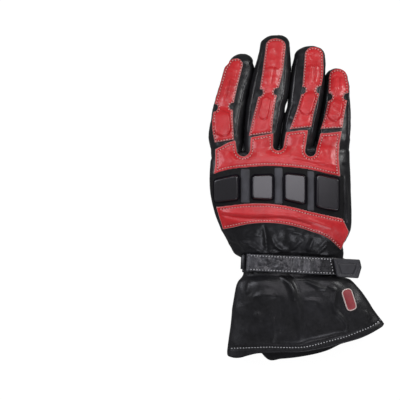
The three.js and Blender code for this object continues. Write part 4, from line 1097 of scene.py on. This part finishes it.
class GLOVE_OT_stage(bpy.types.Operator):
    """Makes the materials, the pale floor, the light and the camera that looks straight down"""

    bl_idname = "glove.stage"
    bl_label = "Stage"

    def execute(self, context):
        settings = context.scene.glove
        make_materials(settings)
        scene = context.scene
        scene.view_settings.view_transform = "Standard"
        bm = bmesh.new()
        bmesh.ops.create_grid(bm, x_segments=1, y_segments=1, size=3)
        floor = new_piece("floor", bm)
        tree = new_material("light_table")
        # A back-lit white table: it glows by itself, so that the glove throws hardly any shadow on it.
        shader = add(tree, "ShaderNodeBsdfPrincipled", {
            "Base Color": linear("#4c4c4c"),
            "Roughness": 0.9,
            "Specular IOR Level": 0.0,
            "Emission Color": linear("#ffffff"),
            "Emission Strength": 0.97,
        })
        add(tree, "ShaderNodeOutputMaterial", {"Surface": (shader, "BSDF")})
        floor.data.materials.append(bpy.data.materials["light_table"])
        floor.location.z = -0.0005
        # The white table is left out of the glove's glossy reflections, as dark flags round it would do in a
        # product studio.
        floor.visible_glossy = False
        world = bpy.data.worlds.new("studio")
        world.use_nodes = True
        world.node_tree.nodes["Background"].inputs["Color"].default_value = linear("#ffffff")
        world.node_tree.nodes["Background"].inputs["Strength"].default_value = 0.14
        scene.world = world
        area_light("overhead", (0.03, 0.2, 1.2), (0.03, 0.2, 0), (0.42, 0.56), 2.75, "#faf6ff")
        area_light("left_box", (-0.9, 0.3, 0.7), (0, 0, 0), (0.45, 0.7), 6.2, "#f4f5ff")
        area_light("right_box", (0.8, 0.5, 0.66), (0, 0.02, 0), (0.3, 0.4), 5.6)
        area_light("front_box", (-0.12, 0.85, 1.05), (0, 0.05, 0), (0.2, 0.24), 1.7)
        area_light("rear_box", (0.3, -0.9, 0.62), (0, -0.05, 0), (0.6, 0.25), 3.2, "#f4f5ff")
        data = bpy.data.cameras.new("camera")
        data.type = "ORTHO"
        data.ortho_scale = settings.view_width
        camera = bpy.data.objects.new("camera", data)
        camera.location = (settings.camera_x, settings.camera_y, 1.0)
        scene.collection.objects.link(camera)
        scene.camera = camera
        return {"FINISHED"}


# Skin

def hand_points(turn, share):
    """Points of the hand from the wrist to the rounded front end."""
    straight = np.clip(share / HAND_STRAIGHT, 0, 1)
    bow = np.clip((share - HAND_STRAIGHT) / (1 - HAND_STRAIGHT), 0, 1) * np.pi / 2
    low, high = HAND[0].y, HAND[-1].y
    y = low + (high - low) * straight
    inset = KNUCKLE_ROUND * (1 - np.cos(bow))
    left = column(HAND, "left", y) + inset
    right = column(HAND, "right", y) - inset
    closing = 1 - smooth_step(bow, np.radians(60), np.pi / 2)
    half_height = ((column(HAND, "top", y) - column(HAND, "bottom", y)) / 2 - inset) * closing
    middle = (column(HAND, "top", y) + column(HAND, "bottom", y)) / 2
    ripple = column(HAND, "gather", y) * np.cos(GATHER["waves"] * turn + GATHER["drift"] * np.sin(2 * turn))
    square = column(HAND, "square", y)
    half_width = (right - left) / 2 + ripple * GATHER["side_share"]
    across, up = oval(turn, half_width, half_height + ripple * closing, square)
    lean = BACK_LEAN * smooth_step(y, -50, -10) * closing
    x = (left + right) / 2 + across + lean * np.clip(np.sin(turn), 0, None)
    y = y + KNUCKLE_SKEW * smooth_step(y, -20, high) * x + KNUCKLE_ROUND * np.sin(bow)
    return np.column_stack([x, y, middle + up])


def slices(node, places):
    """The box of a node's cut at each y: its middle and half sizes, in millimetres."""
    result = []
    for y in places:
        bm = bmesh.new()
        bm.from_mesh(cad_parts[node].data)
        bmesh.ops.remove_doubles(bm, verts=bm.verts, dist=WELD)
        geometry = bm.verts[:] + bm.edges[:] + bm.faces[:]
        cut = bmesh.ops.bisect_plane(bm, geom=geometry, plane_co=(0, y * MM, 0), plane_no=(0, 1, 0))
        spots = np.array([item.co for item in cut["geom_cut"] if isinstance(item, bmesh.types.BMVert)]) / MM
        middle = (spots.min(axis=0) + spots.max(axis=0)) / 2
        half = (spots.max(axis=0) - spots.min(axis=0)) / 2
        result.append(Round(y, middle[0], middle[2], half[0], half[2]))
        bm.free()
    return result


MEASURED = {}  # the fingers' sections, once measured


def finger_rows(finger):
    """A finger's sections, from where it leaves the hand to where its tip rounds over."""
    if finger.name not in MEASURED:
        node = "finger_" + finger.name
        tip_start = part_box(node)[1].y / MM - finger.tip + 0.15
        cuts = slices(node, np.linspace(52, tip_start, 6))
        MEASURED[finger.name] = []
        for y in np.linspace(finger.edges[0].y, tip_start, 18):
            left, right = column(finger.edges, "left", y), column(finger.edges, "right", y)
            z, half_height = column(cuts, "z", y), column(cuts, "half_height", y)
            MEASURED[finger.name].append(Round(y, (left + right) / 2, z, (right - left) / 2, half_height))
    return MEASURED[finger.name]


def finger_points(rows, tip, root, turn, share):
    """Points of a round finger that ends in a round tip."""
    bow = np.clip((share - FINGER_STRAIGHT) / (1 - FINGER_STRAIGHT), 0, 1) * np.pi / 2
    y = root + (rows[-1].y - root) * np.clip(share / FINGER_STRAIGHT, 0, 1)
    before, last = rows[len(rows) // 2], rows[-1]
    lean = (last.x - before.x) / (last.y - before.y)
    start_lean = (rows[1].x - rows[0].x) / (rows[1].y - rows[0].y)
    past = tip * np.sin(bow)
    early = np.clip(rows[0].y - y, 0, None)
    x = column(rows, "x", y) + past * lean - early * start_lean * 0.5
    z = column(rows, "z", y) - past * TIP_DROP + early * TIP_DROP
    half_width = column(rows, "half_width", y) * np.cos(bow)
    half_height = column(rows, "half_height", y) * np.cos(bow)
    across, up = oval(turn, half_width, half_height, FINGER_SQUARE)
    return np.column_stack([x + across, y + past, np.maximum(z + up, 0.05)])


def relieve(piece, amount):
    """Moves each point along its normal by amount(points, normals), in millimetres."""
    points = read(piece.data)
    normals = directions(piece.data)
    write(piece.data, points + normals * amount(points, normals)[:, None])


def notch_depth(x, y):
    """How far the hand's leather sinks between the fingers, from 0 to 1."""
    depth = np.zeros(np.shape(x))
    for notch in NOTCHES:
        ahead = np.clip(y - notch.y, 0, None)
        radius = notch.radius + notch.flare * ahead
        away = np.hypot(x - notch.x - notch.lean * ahead, np.clip(notch.y - y, 0, None))
        depth += 1 - smooth_step(away, radius - 3.0, radius + 0.3)
    return depth


def hand_relief(points, normals):
    """The folds on the hand's back, the valleys between the fingers and the crumpled leather at the wrist."""
    x, y, _ = points.T
    back = smooth_step(normals[:, 2], 0.05, 0.5)
    gathered = smooth_step(-y, 24, 34)
    folds = fold_height(WRIST_FOLDS + SIDE_FOLDS, x, y) * back - 4.0 * notch_depth(x, y) * back
    crumple = 0.5 * rough(points, size=9, octaves=2, seed=3.1) + 0.5 * creased(points, size=13, seed=7.7)
    return folds + crumple * (0.15 + 0.85 * gathered)


def finger_relief(points, normals):
    """Soft lumps and a few creases."""
    return 0.35 * rough(points, size=12, octaves=3, seed=5.5) + 0.2 * creased(points, size=9, seed=1.3)


def thumb_relief(points, normals):
    """Soft lumps, none where the thumb rests."""
    return 0.3 * rough(points, size=10, octaves=3, seed=2.2) * smooth_step(points[:, 2], 0, 3)


class GLOVE_OT_hand(bpy.types.Operator):
    """Makes the black leather of the hand, the fingers and the thumb"""

    bl_idname = "glove.hand"
    bl_label = "Hand and fingers"

    def execute(self, context):
        settings = context.scene.glove
        hand = tube_piece("skin_hand", around=300, along=130, place=hand_points)
        relieve(hand, hand_relief)
        finish_skin(hand, settings.wall, replaces=["hand_shell"])
        for finger in FINGERS:
            place = partial(finger_points, finger_rows(finger), finger.tip, FINGER_ROOT)
            piece = tube_piece("skin_" + finger.name, around=110, along=110, place=place)
            relieve(piece, finger_relief)
            finish_skin(piece, settings.wall, replaces=["finger_" + finger.name])
        place = partial(finger_points, THUMB, THUMB_TIP, THUMB[0].y)
        thumb = tube_piece("skin_thumb", around=84, along=80, place=place)
        relieve(thumb, thumb_relief)
        finish_skin(thumb, settings.wall, replaces=["thumb"])
        return {"FINISHED"}


def finger_of(name):
    """The finger's row in the table."""
    return next(finger for finger in FINGERS if finger.name == name)


def web_points(web, across, share):
    """A soft black web between two fingers: a valley that falls from the hand's front to the crotch."""
    y = web.rear + (web.front - web.rear) * share
    left, right = finger_rows(finger_of(web.left)), finger_rows(finger_of(web.right))
    start = column(left, "x", y) + column(left, "half_width", y)
    end = column(right, "x", y) - column(right, "half_width", y)
    level = np.minimum(column(left, "z", y), column(right, "z", y)) + 1.0
    z = level + (WEB_TOP - level) * (1 - smooth_step(y, *WEB_FALL))
    return np.column_stack([(start + end) / 2 + WEB_REACH * across, y, z])


class GLOVE_OT_fourchettes(bpy.types.Operator):
    """Makes the black webs between the fingers and the piping along their side seams"""

    bl_idname = "glove.fourchettes"
    bl_label = "Finger sides"

    def execute(self, context):
        for number, web in enumerate(WEBS, 1):
            bm = bmesh.new()
            bmesh.ops.create_grid(bm, x_segments=12, y_segments=int(web.front - web.rear), size=0.5)
            piece = new_piece(f"web_{number}", bm)
            unit = read(piece.data) * MM + 0.5
            write(piece.data, web_points(web, 2 * unit[:, 0] - 1, unit[:, 1]))
            finish_skin(piece, WEB_THICKNESS * MM)
        for number, piping in enumerate(PIPINGS, 1):
            finger = finger_of(piping.finger)
            share = np.linspace(piping.start, piping.end, PIPING_STEPS)
            turn = np.full(PIPING_STEPS, math.radians(piping.turn))
            path = finger_points(finger_rows(finger), finger.tip, FINGER_ROOT, turn, share)
            piece = cord_piece(f"piping_{number}", path, PIPING_RADIUS)
            # The pipings take the paler strap leather: a painted highlight along the finger seams.
            finish_piece(piece, ["rubbed_cowhide"])
        return {"FINISHED"}


def round_corner(across, along, radius):
    """How far points near a corner move in: across and along are their distances from its two sides."""
    a = np.clip(radius - across, 0, None)
    b = np.clip(radius - along, 0, None)
    far = np.hypot(a, b)
    pull = np.where(far > radius, radius / np.maximum(far, 1e-6), 1.0)
    return a * (1 - pull), b * (1 - pull)


def cuff_points(turn, share):
    """Points of the cuff from the wrist to the hem."""
    rows = np.arange(len(CUFF))

    def value(name):
        return through(rows, [getattr(row, name) for row in CUFF], share * (len(CUFF) - 1))

    left, right = value("left"), value("right")
    ripple = value("gather") * np.cos(GATHER["waves"] * turn + GATHER["drift"] * np.sin(2 * turn))
    half_height = (value("top") - value("bottom")) / 2 + ripple
    across, up = oval(turn, (right - left) / 2 + ripple * GATHER["side_share"], half_height, CUFF_SQUARE)
    x = (left + right) / 2 + across
    place = np.clip((x - left) / (right - left), 0, 1)
    side = value("left_y") * (1 - place) + value("right_y") * place
    bow = value("bow") * (1 - np.abs(2 * place - 1) ** HEM_SQUARE)
    palm, back = column(HEM_WAVE, "palm", x, by="x"), column(HEM_WAVE, "back", x, by="x")
    wave = np.where(np.sin(turn) < 0, palm, back)
    z = (value("top") + value("bottom")) / 2 + up
    y = side + bow + wave * smooth_step(share, 0.6, 1)
    inward, forward = round_corner(np.minimum(x - left, right - x), (1 - share) * CUFF_LENGTH, HEM_CORNER)
    return np.column_stack([x + np.sign((left + right) / 2 - x) * inward, y + forward, z])


def cuff_relief(hem, points, normals):
    """The cuff's folds, its soft crumple and the shallow groove of the seam along its hem."""
    x, y, z = points.T
    back = smooth_step(normals[:, 2], 0.05, 0.45)
    to_hem, _ = line_distance(x, y, hem)
    to_seam, _ = line_distance(x, y, HEM_SEAM)
    fade = smooth_step(to_hem, 3, 12)
    folds = fold_height(CUFF_FOLDS, x, y) * back * (0.25 + 0.75 * fade)
    crumple = 0.5 * rough(points, size=24, octaves=2, seed=9.1) + 0.2 * creased(points, size=26, seed=4.7)
    seam = -0.4 * np.exp(-((to_seam / 0.9) ** 2)) * back
    return folds + crumple * (0.2 + 0.8 * fade) * smooth_step(z, 0.5, 5) + seam


class GLOVE_OT_cuff(bpy.types.Operator):
    """Makes the leather cuff with its folds and turned hem"""

    bl_idname = "glove.cuff"
    bl_label = "Cuff"

    def execute(self, context):
        cuff = tube_piece("skin_cuff", around=330, along=90, place=cuff_points)
        hem = cuff_points(np.linspace(0, np.pi, 200), np.full(200, 1.0))
        relieve(cuff, partial(cuff_relief, hem))
        points = read(cuff.data)
        points[:, 2] = np.maximum(points[:, 2], 0.02)
        write(cuff.data, points)
        finish_skin(cuff, context.scene.glove.wall, replaces=["cuff"])
        return {"FINISHED"}


# Panels

def plateau(points, finger, pad, edge):
    """How far each point is inside a long rounded pad along a finger, from 0 to 1."""
    y = np.linspace(pad.rear + pad.half, pad.front - pad.half, 12)
    line = np.column_stack([column(finger.strip, "x", y), y])
    away, _ = line_distance(points[:, 0], points[:, 1], line)
    return 1 - smooth_step(away, pad.half - edge, pad.half + 0.3), away


def finger_height(finger, number, top, points, distance):
    """A finger panel's height: two moulded pads, the far one grooved, a waist between them, and wrinkles."""
    x, y, _ = points.T
    near, away = plateau(points, finger, finger.near, 1.2)
    front = smooth_step(y, finger.far.front - 5, finger.far.front - 1.5)
    far, _ = plateau(points, finger, finger.far, 4.2 - 3.2 * front)
    dome = np.sqrt(np.clip(1 - (away / finger.near.half) ** 2, 0, 1))
    centre = x - column(finger.strip, "x", y)
    groove = -GROOVE["depth"] * np.exp(-((centre - GROOVE["offset"]) / GROOVE["breadth"]) ** 2) * far
    waist = -WAIST["depth"] * np.exp(-((y - finger.notch_y) / WAIST["breadth"]) ** 2)
    swell = 0.5 * smooth_step(distance, 0.5, 4.5)
    wrinkles = 0.2 * rough(points, size=9, octaves=3, seed=2.0 + number)
    wrinkles = wrinkles + 0.25 * creased(points, size=10, seed=4.0 + number)
    cradle = (NEAR_RISE + centre ** 2 / NEAR_CRADLE) * near
    body = swell + cradle + NEAR_DOME * dome + far + groove + waist + wrinkles
    seam = -0.3 * np.exp(-((distance - STITCH_INSET["finger"]) / 0.5) ** 2)
    return rounded_rim(distance, top, RIM_RADIUS) + body * smooth_step(distance, RIM_RADIUS, 2.4) + seam


class GLOVE_OT_finger_panels(bpy.types.Operator):
    """Makes the red padded panels along the backs of the four fingers"""

    bl_idname = "glove.finger_panels"
    bl_label = "Finger panels"

    def execute(self, context):
        top = context.scene.glove.panel_height / MM
        for number, finger in enumerate(FINGERS, 1):
            height = partial(finger_height, finger, number, top)
            tree = surface_of("skin_" + finger.name)
            outline = finger_outline(finger)
            piece = plate_piece(
                f"red_panel_{finger.name}", outline, tree, 0.62, height, top + PLATE_LEDGE, ease=12)
            finish_piece(piece, ["red_cowhide"], [f"finger_panel_{number}"])
        return {"FINISHED"}


SKIN = ["skin_hand"] + ["skin_" + finger.name for finger in FINGERS]


def cushioned(cushion, folds, top, points, distance):
    """The height of red leather over thin foam, with its soft folds and a sunk seam along its edge."""
    x, y, _ = points.T
    body = cushion.swell * smooth_step(distance, 1, cushion.full)
    body = body + cushion.lump * rough(points, size=cushion.lump_size, octaves=3, seed=cushion.lump_seed)
    body = body + 0.2 * creased(points, size=cushion.crease_size, seed=cushion.crease_seed)
    seam = -0.35 * np.exp(-((distance - STITCH_INSET["panel"]) / 0.6) ** 2)
    body = body + fold_height(folds, x, y)
    return rounded_rim(distance, top, RIM_RADIUS) + body * smooth_step(distance, RIM_RADIUS, 3) + seam


class GLOVE_OT_knuckle_panel(bpy.types.Operator):
    """Makes the red leather over the knuckles, notched between the fingers"""

    bl_idname = "glove.knuckle_panel"
    bl_label = "Knuckle panel"

    def execute(self, context):
        top = context.scene.glove.panel_height / MM
        height = partial(cushioned, KNUCKLE_CUSHION, KNUCKLE_FOLDS, top)
        piece = plate_piece(
            "red_panel_knuckles", knuckle_outline(), surface_of(*SKIN), 0.75, height, top + PLATE_LEDGE,
            ease=60, lowest=0.5)
        finish_piece(piece, ["red_cowhide"], ["knuckle_panel"])
        return {"FINISHED"}


class GLOVE_OT_knuckle_pads(bpy.types.Operator):
    """Makes the black band across the back and its four moulded knuckle pads"""

    bl_idname = "glove.knuckle_pads"
    bl_label = "Knuckle pads"

    def execute(self, context):
        settings = context.scene.glove
        band_top = settings.band_height / MM
        pad_top = settings.pad_height / MM

        def band_height(points, distance):
            return rounded_rim(distance, band_top, 0.6)

        def strip_height(points, distance):
            return rounded_rim(distance, 0.8, 0.6) + 0.5 * smooth_step(distance, 0.5, 3)

        def pad_height(points, distance):
            return PAD_FOOT + (pad_top - PAD_FOOT) * smooth_step(distance, 0.3, 2.6)

        band = plate_piece(
            "back_band", band_outline(), surface_of("skin_hand"), 0.9, band_height, band_top + PLATE_LEDGE,
            ease=40)
        finish_piece(band, ["matt_cowhide"], ["pad_band"])
        tree = surface_of("back_band")
        for number, (left, right) in enumerate(CHANNELS, 1):
            outline = channel_outline(left, right)
            strip = plate_piece(f"suede_strip_{number}", outline, tree, 0.7, strip_height, 1.0, ease=10)
            finish_piece(strip, ["suede_split"])
        for number, pad in enumerate(PADS, 1):
            outline = pad_outline(pad)
            piece = plate_piece(f"moulded_pad_{number}", outline, tree, 0.45, pad_height, 1.2, ease=20)
            self.flatten(piece, pad)
            finish_piece(piece, ["moulded_cowhide"], [f"knuckle_pad_{number}"])
        return {"FINISHED"}

    def flatten(self, piece, pad):
        """Brings a pad's top nearly into one plane, as the mould pressed it, and leaves its flanks."""
        points = read(piece.data)
        rim = np.empty(len(points))
        piece.data.attributes["rim"].data.foreach_get("value", rim)
        top = rim > 3
        spots = np.column_stack([points[:, :2], np.ones(len(points))])
        plane, *_ = np.linalg.lstsq(spots[top], points[top, 2], rcond=None)
        across = points[:, 0] - (pad.left + pad.right) / 2
        level = spots @ plane + math.tan(math.radians(pad.lean)) * across
        points[:, 2] += (level - points[:, 2]) * PAD_FLATNESS * smooth_step(rim, 0.8, 3.0)
        write(piece.data, points)


class GLOVE_OT_wrist_panel(bpy.types.Operator):
    """Makes the red leather band across the back of the hand, behind the pads"""

    bl_idname = "glove.wrist_panel"
    bl_label = "Wrist panel"

    def execute(self, context):
        top = context.scene.glove.panel_height / MM
        height = partial(cushioned, WRIST_CUSHION, WRIST_PANEL_FOLDS, top)
        piece = plate_piece(
            "red_panel_wrist", wrist_outline(), surface_of("skin_hand"), 0.75, height, top + PLATE_LEDGE,
            ease=30)
        finish_piece(piece, ["red_cowhide"], ["wrist_panel"])
        return {"FINISHED"}


# Strap and its fittings

def strap_place():
    """Where the strap's own frame lies."""
    return Matrix.Translation((0, STRAP_Y * MM, 0)) @ Matrix.Rotation(STRAP_TURN, 4, "Z")


def arch_point(angle, lift):
    """A point of the arch over the wrist, at an angle and a height above its inner line."""
    at = np.full(np.shape(angle), STRAP_Y)
    left, right = column(HAND, "left", at), column(HAND, "right", at)
    bottom, top = column(HAND, "bottom", at), column(HAND, "top", at)
    grow = STRAP_EASE + lift
    across, up = oval(angle, (right - left) / 2 + grow, (top - bottom) / 2 + grow, FINGER_SQUARE)
    return np.column_stack([(left + right) / 2 + across, (bottom + top) / 2 + up])


def strap_path(thickness):
    """The strap's middle line from its sewn end at the wrist, round the ring's bar, to its loose end."""
    under_angles = np.linspace(STRAP_ANCHOR, STRAP_FOLD, 90)
    over_angles = np.linspace(STRAP_FOLD, STRAP_END, 90)
    opening = smooth_step(over_angles, STRAP_FOLD - STRAP_SPREAD, STRAP_FOLD)
    gap = STRAP_GAP + (STRAP_OPENING - STRAP_GAP) * opening
    under = arch_point(under_angles, np.full(90, thickness / 2))
    over = arch_point(over_angles, 1.5 * thickness + gap)
    middle = (under[-1] + over[0]) / 2
    start = under[-1] - middle
    turns = np.radians(np.linspace(0, 180, 14))[1:-1]
    x = start[0] * np.cos(turns) + start[1] * np.sin(turns)
    y = -start[0] * np.sin(turns) + start[1] * np.cos(turns)
    return np.vstack([under, middle + np.column_stack([x, y]), over])


class GLOVE_OT_strap(bpy.types.Operator):
    """Makes the wrist strap, folded round its ring, with the ring, its keeper and the pull tab"""

    bl_idname = "glove.strap"
    bl_label = "Strap"

    def execute(self, context):
        settings = context.scene.glove
        thickness = settings.strap_thickness / MM
        width = settings.strap_width / MM
        path = evenly(strap_path(thickness), 0.8, closed=False)
        length = float(np.linalg.norm(np.diff(path, axis=0), axis=1).sum())
        bm = bmesh.new()
        bmesh.ops.create_grid(bm, x_segments=len(path) - 1, y_segments=20, size=0.5)
        strap = new_piece("wrist_strap_leather", bm)
        unit = read(strap.data) * MM + 0.5
        places = np.linspace(0, 1, len(path))
        x = np.interp(unit[:, 0], places, path[:, 0])
        z = np.interp(unit[:, 0], places, path[:, 1])
        points = np.column_stack([x, (unit[:, 1] - 0.5) * width, z])
        write(strap.data, points)
        normals = directions(strap.data)
        over = smooth_step(unit[:, 0], *STRAP_OUTER)
        outward = np.sign(np.sum(normals * np.column_stack([x + 4, 0 * x, z - 18]), axis=1))
        inside = 1 - (2 * np.abs(unit[:, 1] - 0.5)) ** 6
        flat = np.column_stack([unit[:, 0] * length, unit[:, 1] * width, np.zeros(len(unit))])
        # The outer layer crinkles, least in its rubbed middle and not at all where the ring holds it.
        crinkle = 0.6 * rough(flat, size=4.4, octaves=2, seed=12.0) + 0.15 * creased(flat, size=6.5, seed=2.0)
        crinkle *= (1 - 0.6 * smooth_step(x, *STRAP_CALM)) * smooth_step(x, *STRAP_HELD)
        for puff in STRAP_PUFFS:
            crinkle += puff.height * np.exp(-(((x - puff.x) / puff.breadth) ** 2))
        points = points + normals * (outward * crinkle * over * inside)[:, None]
        # That middle turns a little towards the light.
        begun, ended = (smooth_step(x, *stretch) for stretch in STRAP_RUBBED)
        points[:, 2] -= STRAP_ROLL * points[:, 1] * (begun * (1 - ended) * over)
        write(strap.data, points)
        strap.data.transform(strap_place())
        wall = strap.modifiers.new("Wall", "SOLIDIFY")
        wall.thickness = settings.strap_thickness * 0.92
        wall.offset = 0
        # The strap's paler leather is partly wear and partly painted sheen.
        finish_piece(strap, ["rubbed_cowhide"], ["wrist_strap"])
        self.fittings(context)
        self.tab(context)
        return {"FINISHED"}

    def fittings(self, context):
        """The ring and its keeper keep the shape of their solids, with their edges rounded."""
        for name, node, material, slot, radius, fill in (
            ("strap_ring_nylon", "strap_ring", "black_nylon", "ring_plastic", 0.4, None),
            ("ring_keeper_leather", "ring_keeper", "black_cowhide", "black_leather", 0.35, 0.2),
        ):
            bm = bmesh.new()
            bm.from_mesh(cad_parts[node].data)
            bmesh.ops.remove_doubles(bm, verts=bm.verts, dist=WELD)
            bmesh.ops.dissolve_limit(bm, angle_limit=math.radians(1), verts=bm.verts, edges=bm.edges)
            joined = [edge for edge in bm.edges if len(edge.link_faces) == 2]
            sharp = [edge for edge in joined if edge.calc_face_angle() > math.radians(35)]
            bmesh.ops.bevel(
                bm, geom=sharp, offset=radius * MM, affect="EDGES", segments=3, profile=0.5, material=-1)
            finish_piece(new_piece(name, bm), [material], [node])

    def tab(self, context):
        """The moulded pull tab: a plate with a groove round a raised field."""
        thickness = TAB_PLACE["thickness"]
        field = rounded(TAB_FIELD, TAB_PLACE["field_corner"])
        bm = bmesh.new()
        bmesh.ops.create_grid(bm, x_segments=1, y_segments=1, size=0.2)
        ground = BVHTree.FromBMesh(bm)
        bm.free()

        def height(points, distance):
            away, _ = line_distance(points[:, 0], points[:, 1], field, closed=True)
            inside = is_inside(points[:, 0], points[:, 1], field)
            groove = -0.75 * np.exp(-((away / 0.55) ** 2))
            raised = np.where(inside, 0.35 * smooth_step(away, 0.4, 1.4), 0)
            lip = 0.3 * smooth_step(distance, 0.3, 1.2) * (1 - smooth_step(distance, 1.4, 2.4))
            return rounded_rim(distance, thickness - 0.3, 0.8) + groove + raised + lip

        outline = rounded(TAB_OUTLINE, TAB_PLACE["corner"])
        tab = plate_piece("pull_tab", outline, ground, 0.4, height, thickness - 0.4, ease=0)
        two_layers = 2 * context.scene.glove.strap_thickness / MM
        end = arch_point(np.array([STRAP_END]), np.array([two_layers + STRAP_GAP]))[0]
        x, y = (end[0] + TAB_PLACE["clear"]) * MM, TAB_PLACE["offset"] * MM
        z = (end[1] - thickness + TAB_PLACE["lift"]) * MM
        tab.data.transform(strap_place() @ Matrix.Translation((x, y, z)) @ Matrix.Rotation(TAB_TILT, 4, "Y"))
        finish_piece(tab, ["matt_tab_rubber"], ["strap_tab"])


class GLOVE_OT_patch(bpy.types.Operator):
    """Makes the small plain patch on the cuff"""

    bl_idname = "glove.patch"
    bl_label = "Patch"

    def execute(self, context):
        sine, cosine = math.sin(math.radians(PATCH["turn"])), math.cos(math.radians(PATCH["turn"]))
        corners = []
        for a, b in ((-1, -1), (1, -1), (1, 1), (-1, 1)):
            x, y = a * PATCH["width"] / 2, b * PATCH["length"] / 2
            corners.append((PATCH["x"] + x * cosine - y * sine, PATCH["y"] + x * sine + y * cosine))
        outline = rounded(corners, PATCH["width"] * PATCH["roundness"])

        def height(points, distance):
            return rounded_rim(distance, PATCH["height"], 0.4) - 0.35 * smooth_step(distance, 0.9, 1.3)

        tree = surface_of("skin_cuff")
        patch = plate_piece("cuff_patch_rubber", outline, tree, 0.4, height, PATCH["height"] + 0.4, ease=40)
        finish_piece(patch, ["soft_patch_rubber"], ["cuff_patch"])
        return {"FINISHED"}


# Seams

class GLOVE_OT_seams(bpy.types.Operator):
    """Sews the panels, the strap and the hem, with dark dots between the stitches as painted shade in the
    needle holes
    """

    bl_idname = "glove.seams"
    bl_label = "Seams"

    def execute(self, context):
        settings = context.scene.glove
        radius = settings.thread / MM
        red = settings.stitch_red / MM
        black = settings.stitch_black / MM
        on_red = []
        for finger in FINGERS:
            line = inset_line(finger_outline(finger), STITCH_INSET["finger"])
            on_red.append(("red_panel_" + finger.name, line, True))
        on_red.append(("red_panel_knuckles", inset_line(knuckle_outline(), STITCH_INSET["panel"]), True))
        for name, inset, ends in (("band", -3.0, (-70, 43.5)), ("wrist", 1.9, (-66, 39.5))):
            seam = seam_line(name, *ends, inset, 1.0)
            on_red.append(("red_panel_wrist", seam, False))
        on_black = [("skin_cuff", spline(HEM_SEAM, 6), False), ("wrist_strap_leather", STRAP_END_SEAM, False)]
        matrix = strap_place()
        for across in STRAP_SEAMS:
            line = [matrix @ Vector((x * MM, across * MM, 0)) for x in np.linspace(*STRAP_SEWN, 60)]
            on_black.append(("wrist_strap_leather", np.array([(p.x, p.y) for p in line]) / MM, False))
        for name, rows, pitch, slot, thread in (
            ("red", on_red, red, "red_leather", "rose_thread"),
            ("black", on_black, black, "black_leather", "grey_thread"),
        ):
            stitches = bmesh.new()
            shade_marks = bmesh.new()
            for surface, line, closed in rows:
                tree = surface_of(surface)
                sew(stitches, line, tree, pitch, radius, closed=closed)
                # The dots between the stitches are painted shade where the needle holes lie.
                sew(shade_marks, line, tree, pitch, 0.75 * radius, 0.3, closed, between=True)
            finish_piece(new_piece("stitches_" + name, stitches), [thread])
            finish_piece(new_piece("needle_holes_" + name, shade_marks), ["needle_hole"])
        return {"FINISHED"}


class GLOVE_PT_panel(bpy.types.Panel):
    """Lists the glove's settings and the operators that make it"""

    bl_idname = "GLOVE_PT_panel"
    bl_label = "Motorcycle glove"
    bl_space_type = "VIEW_3D"
    bl_region_type = "UI"
    bl_category = "Glove"

    def draw(self, context):
        settings = context.scene.glove
        for name in GloveSettings.__annotations__:
            self.layout.prop(settings, name)
        for operator in OPERATORS:
            self.layout.operator(operator.bl_idname)


OPERATORS = [
    GLOVE_OT_stage,
    GLOVE_OT_hand,
    GLOVE_OT_fourchettes,
    GLOVE_OT_cuff,
    GLOVE_OT_finger_panels,
    GLOVE_OT_knuckle_panel,
    GLOVE_OT_knuckle_pads,
    GLOVE_OT_wrist_panel,
    GLOVE_OT_strap,
    GLOVE_OT_patch,
    GLOVE_OT_seams,
]
CLASSES = [GloveSettings, *OPERATORS, GLOVE_PT_panel]


def register():
    for item in CLASSES:
        bpy.utils.register_class(item)
    bpy.types.Scene.glove = bpy.props.PointerProperty(type=GloveSettings)


def unregister():
    del bpy.types.Scene.glove
    for item in reversed(CLASSES):
        bpy.utils.unregister_class(item)


def main():
    register()
    for operator in OPERATORS:
        group, name = operator.bl_idname.split(".")
        getattr(getattr(bpy.ops, group), name)()


if __name__ == "__main__":
    main()
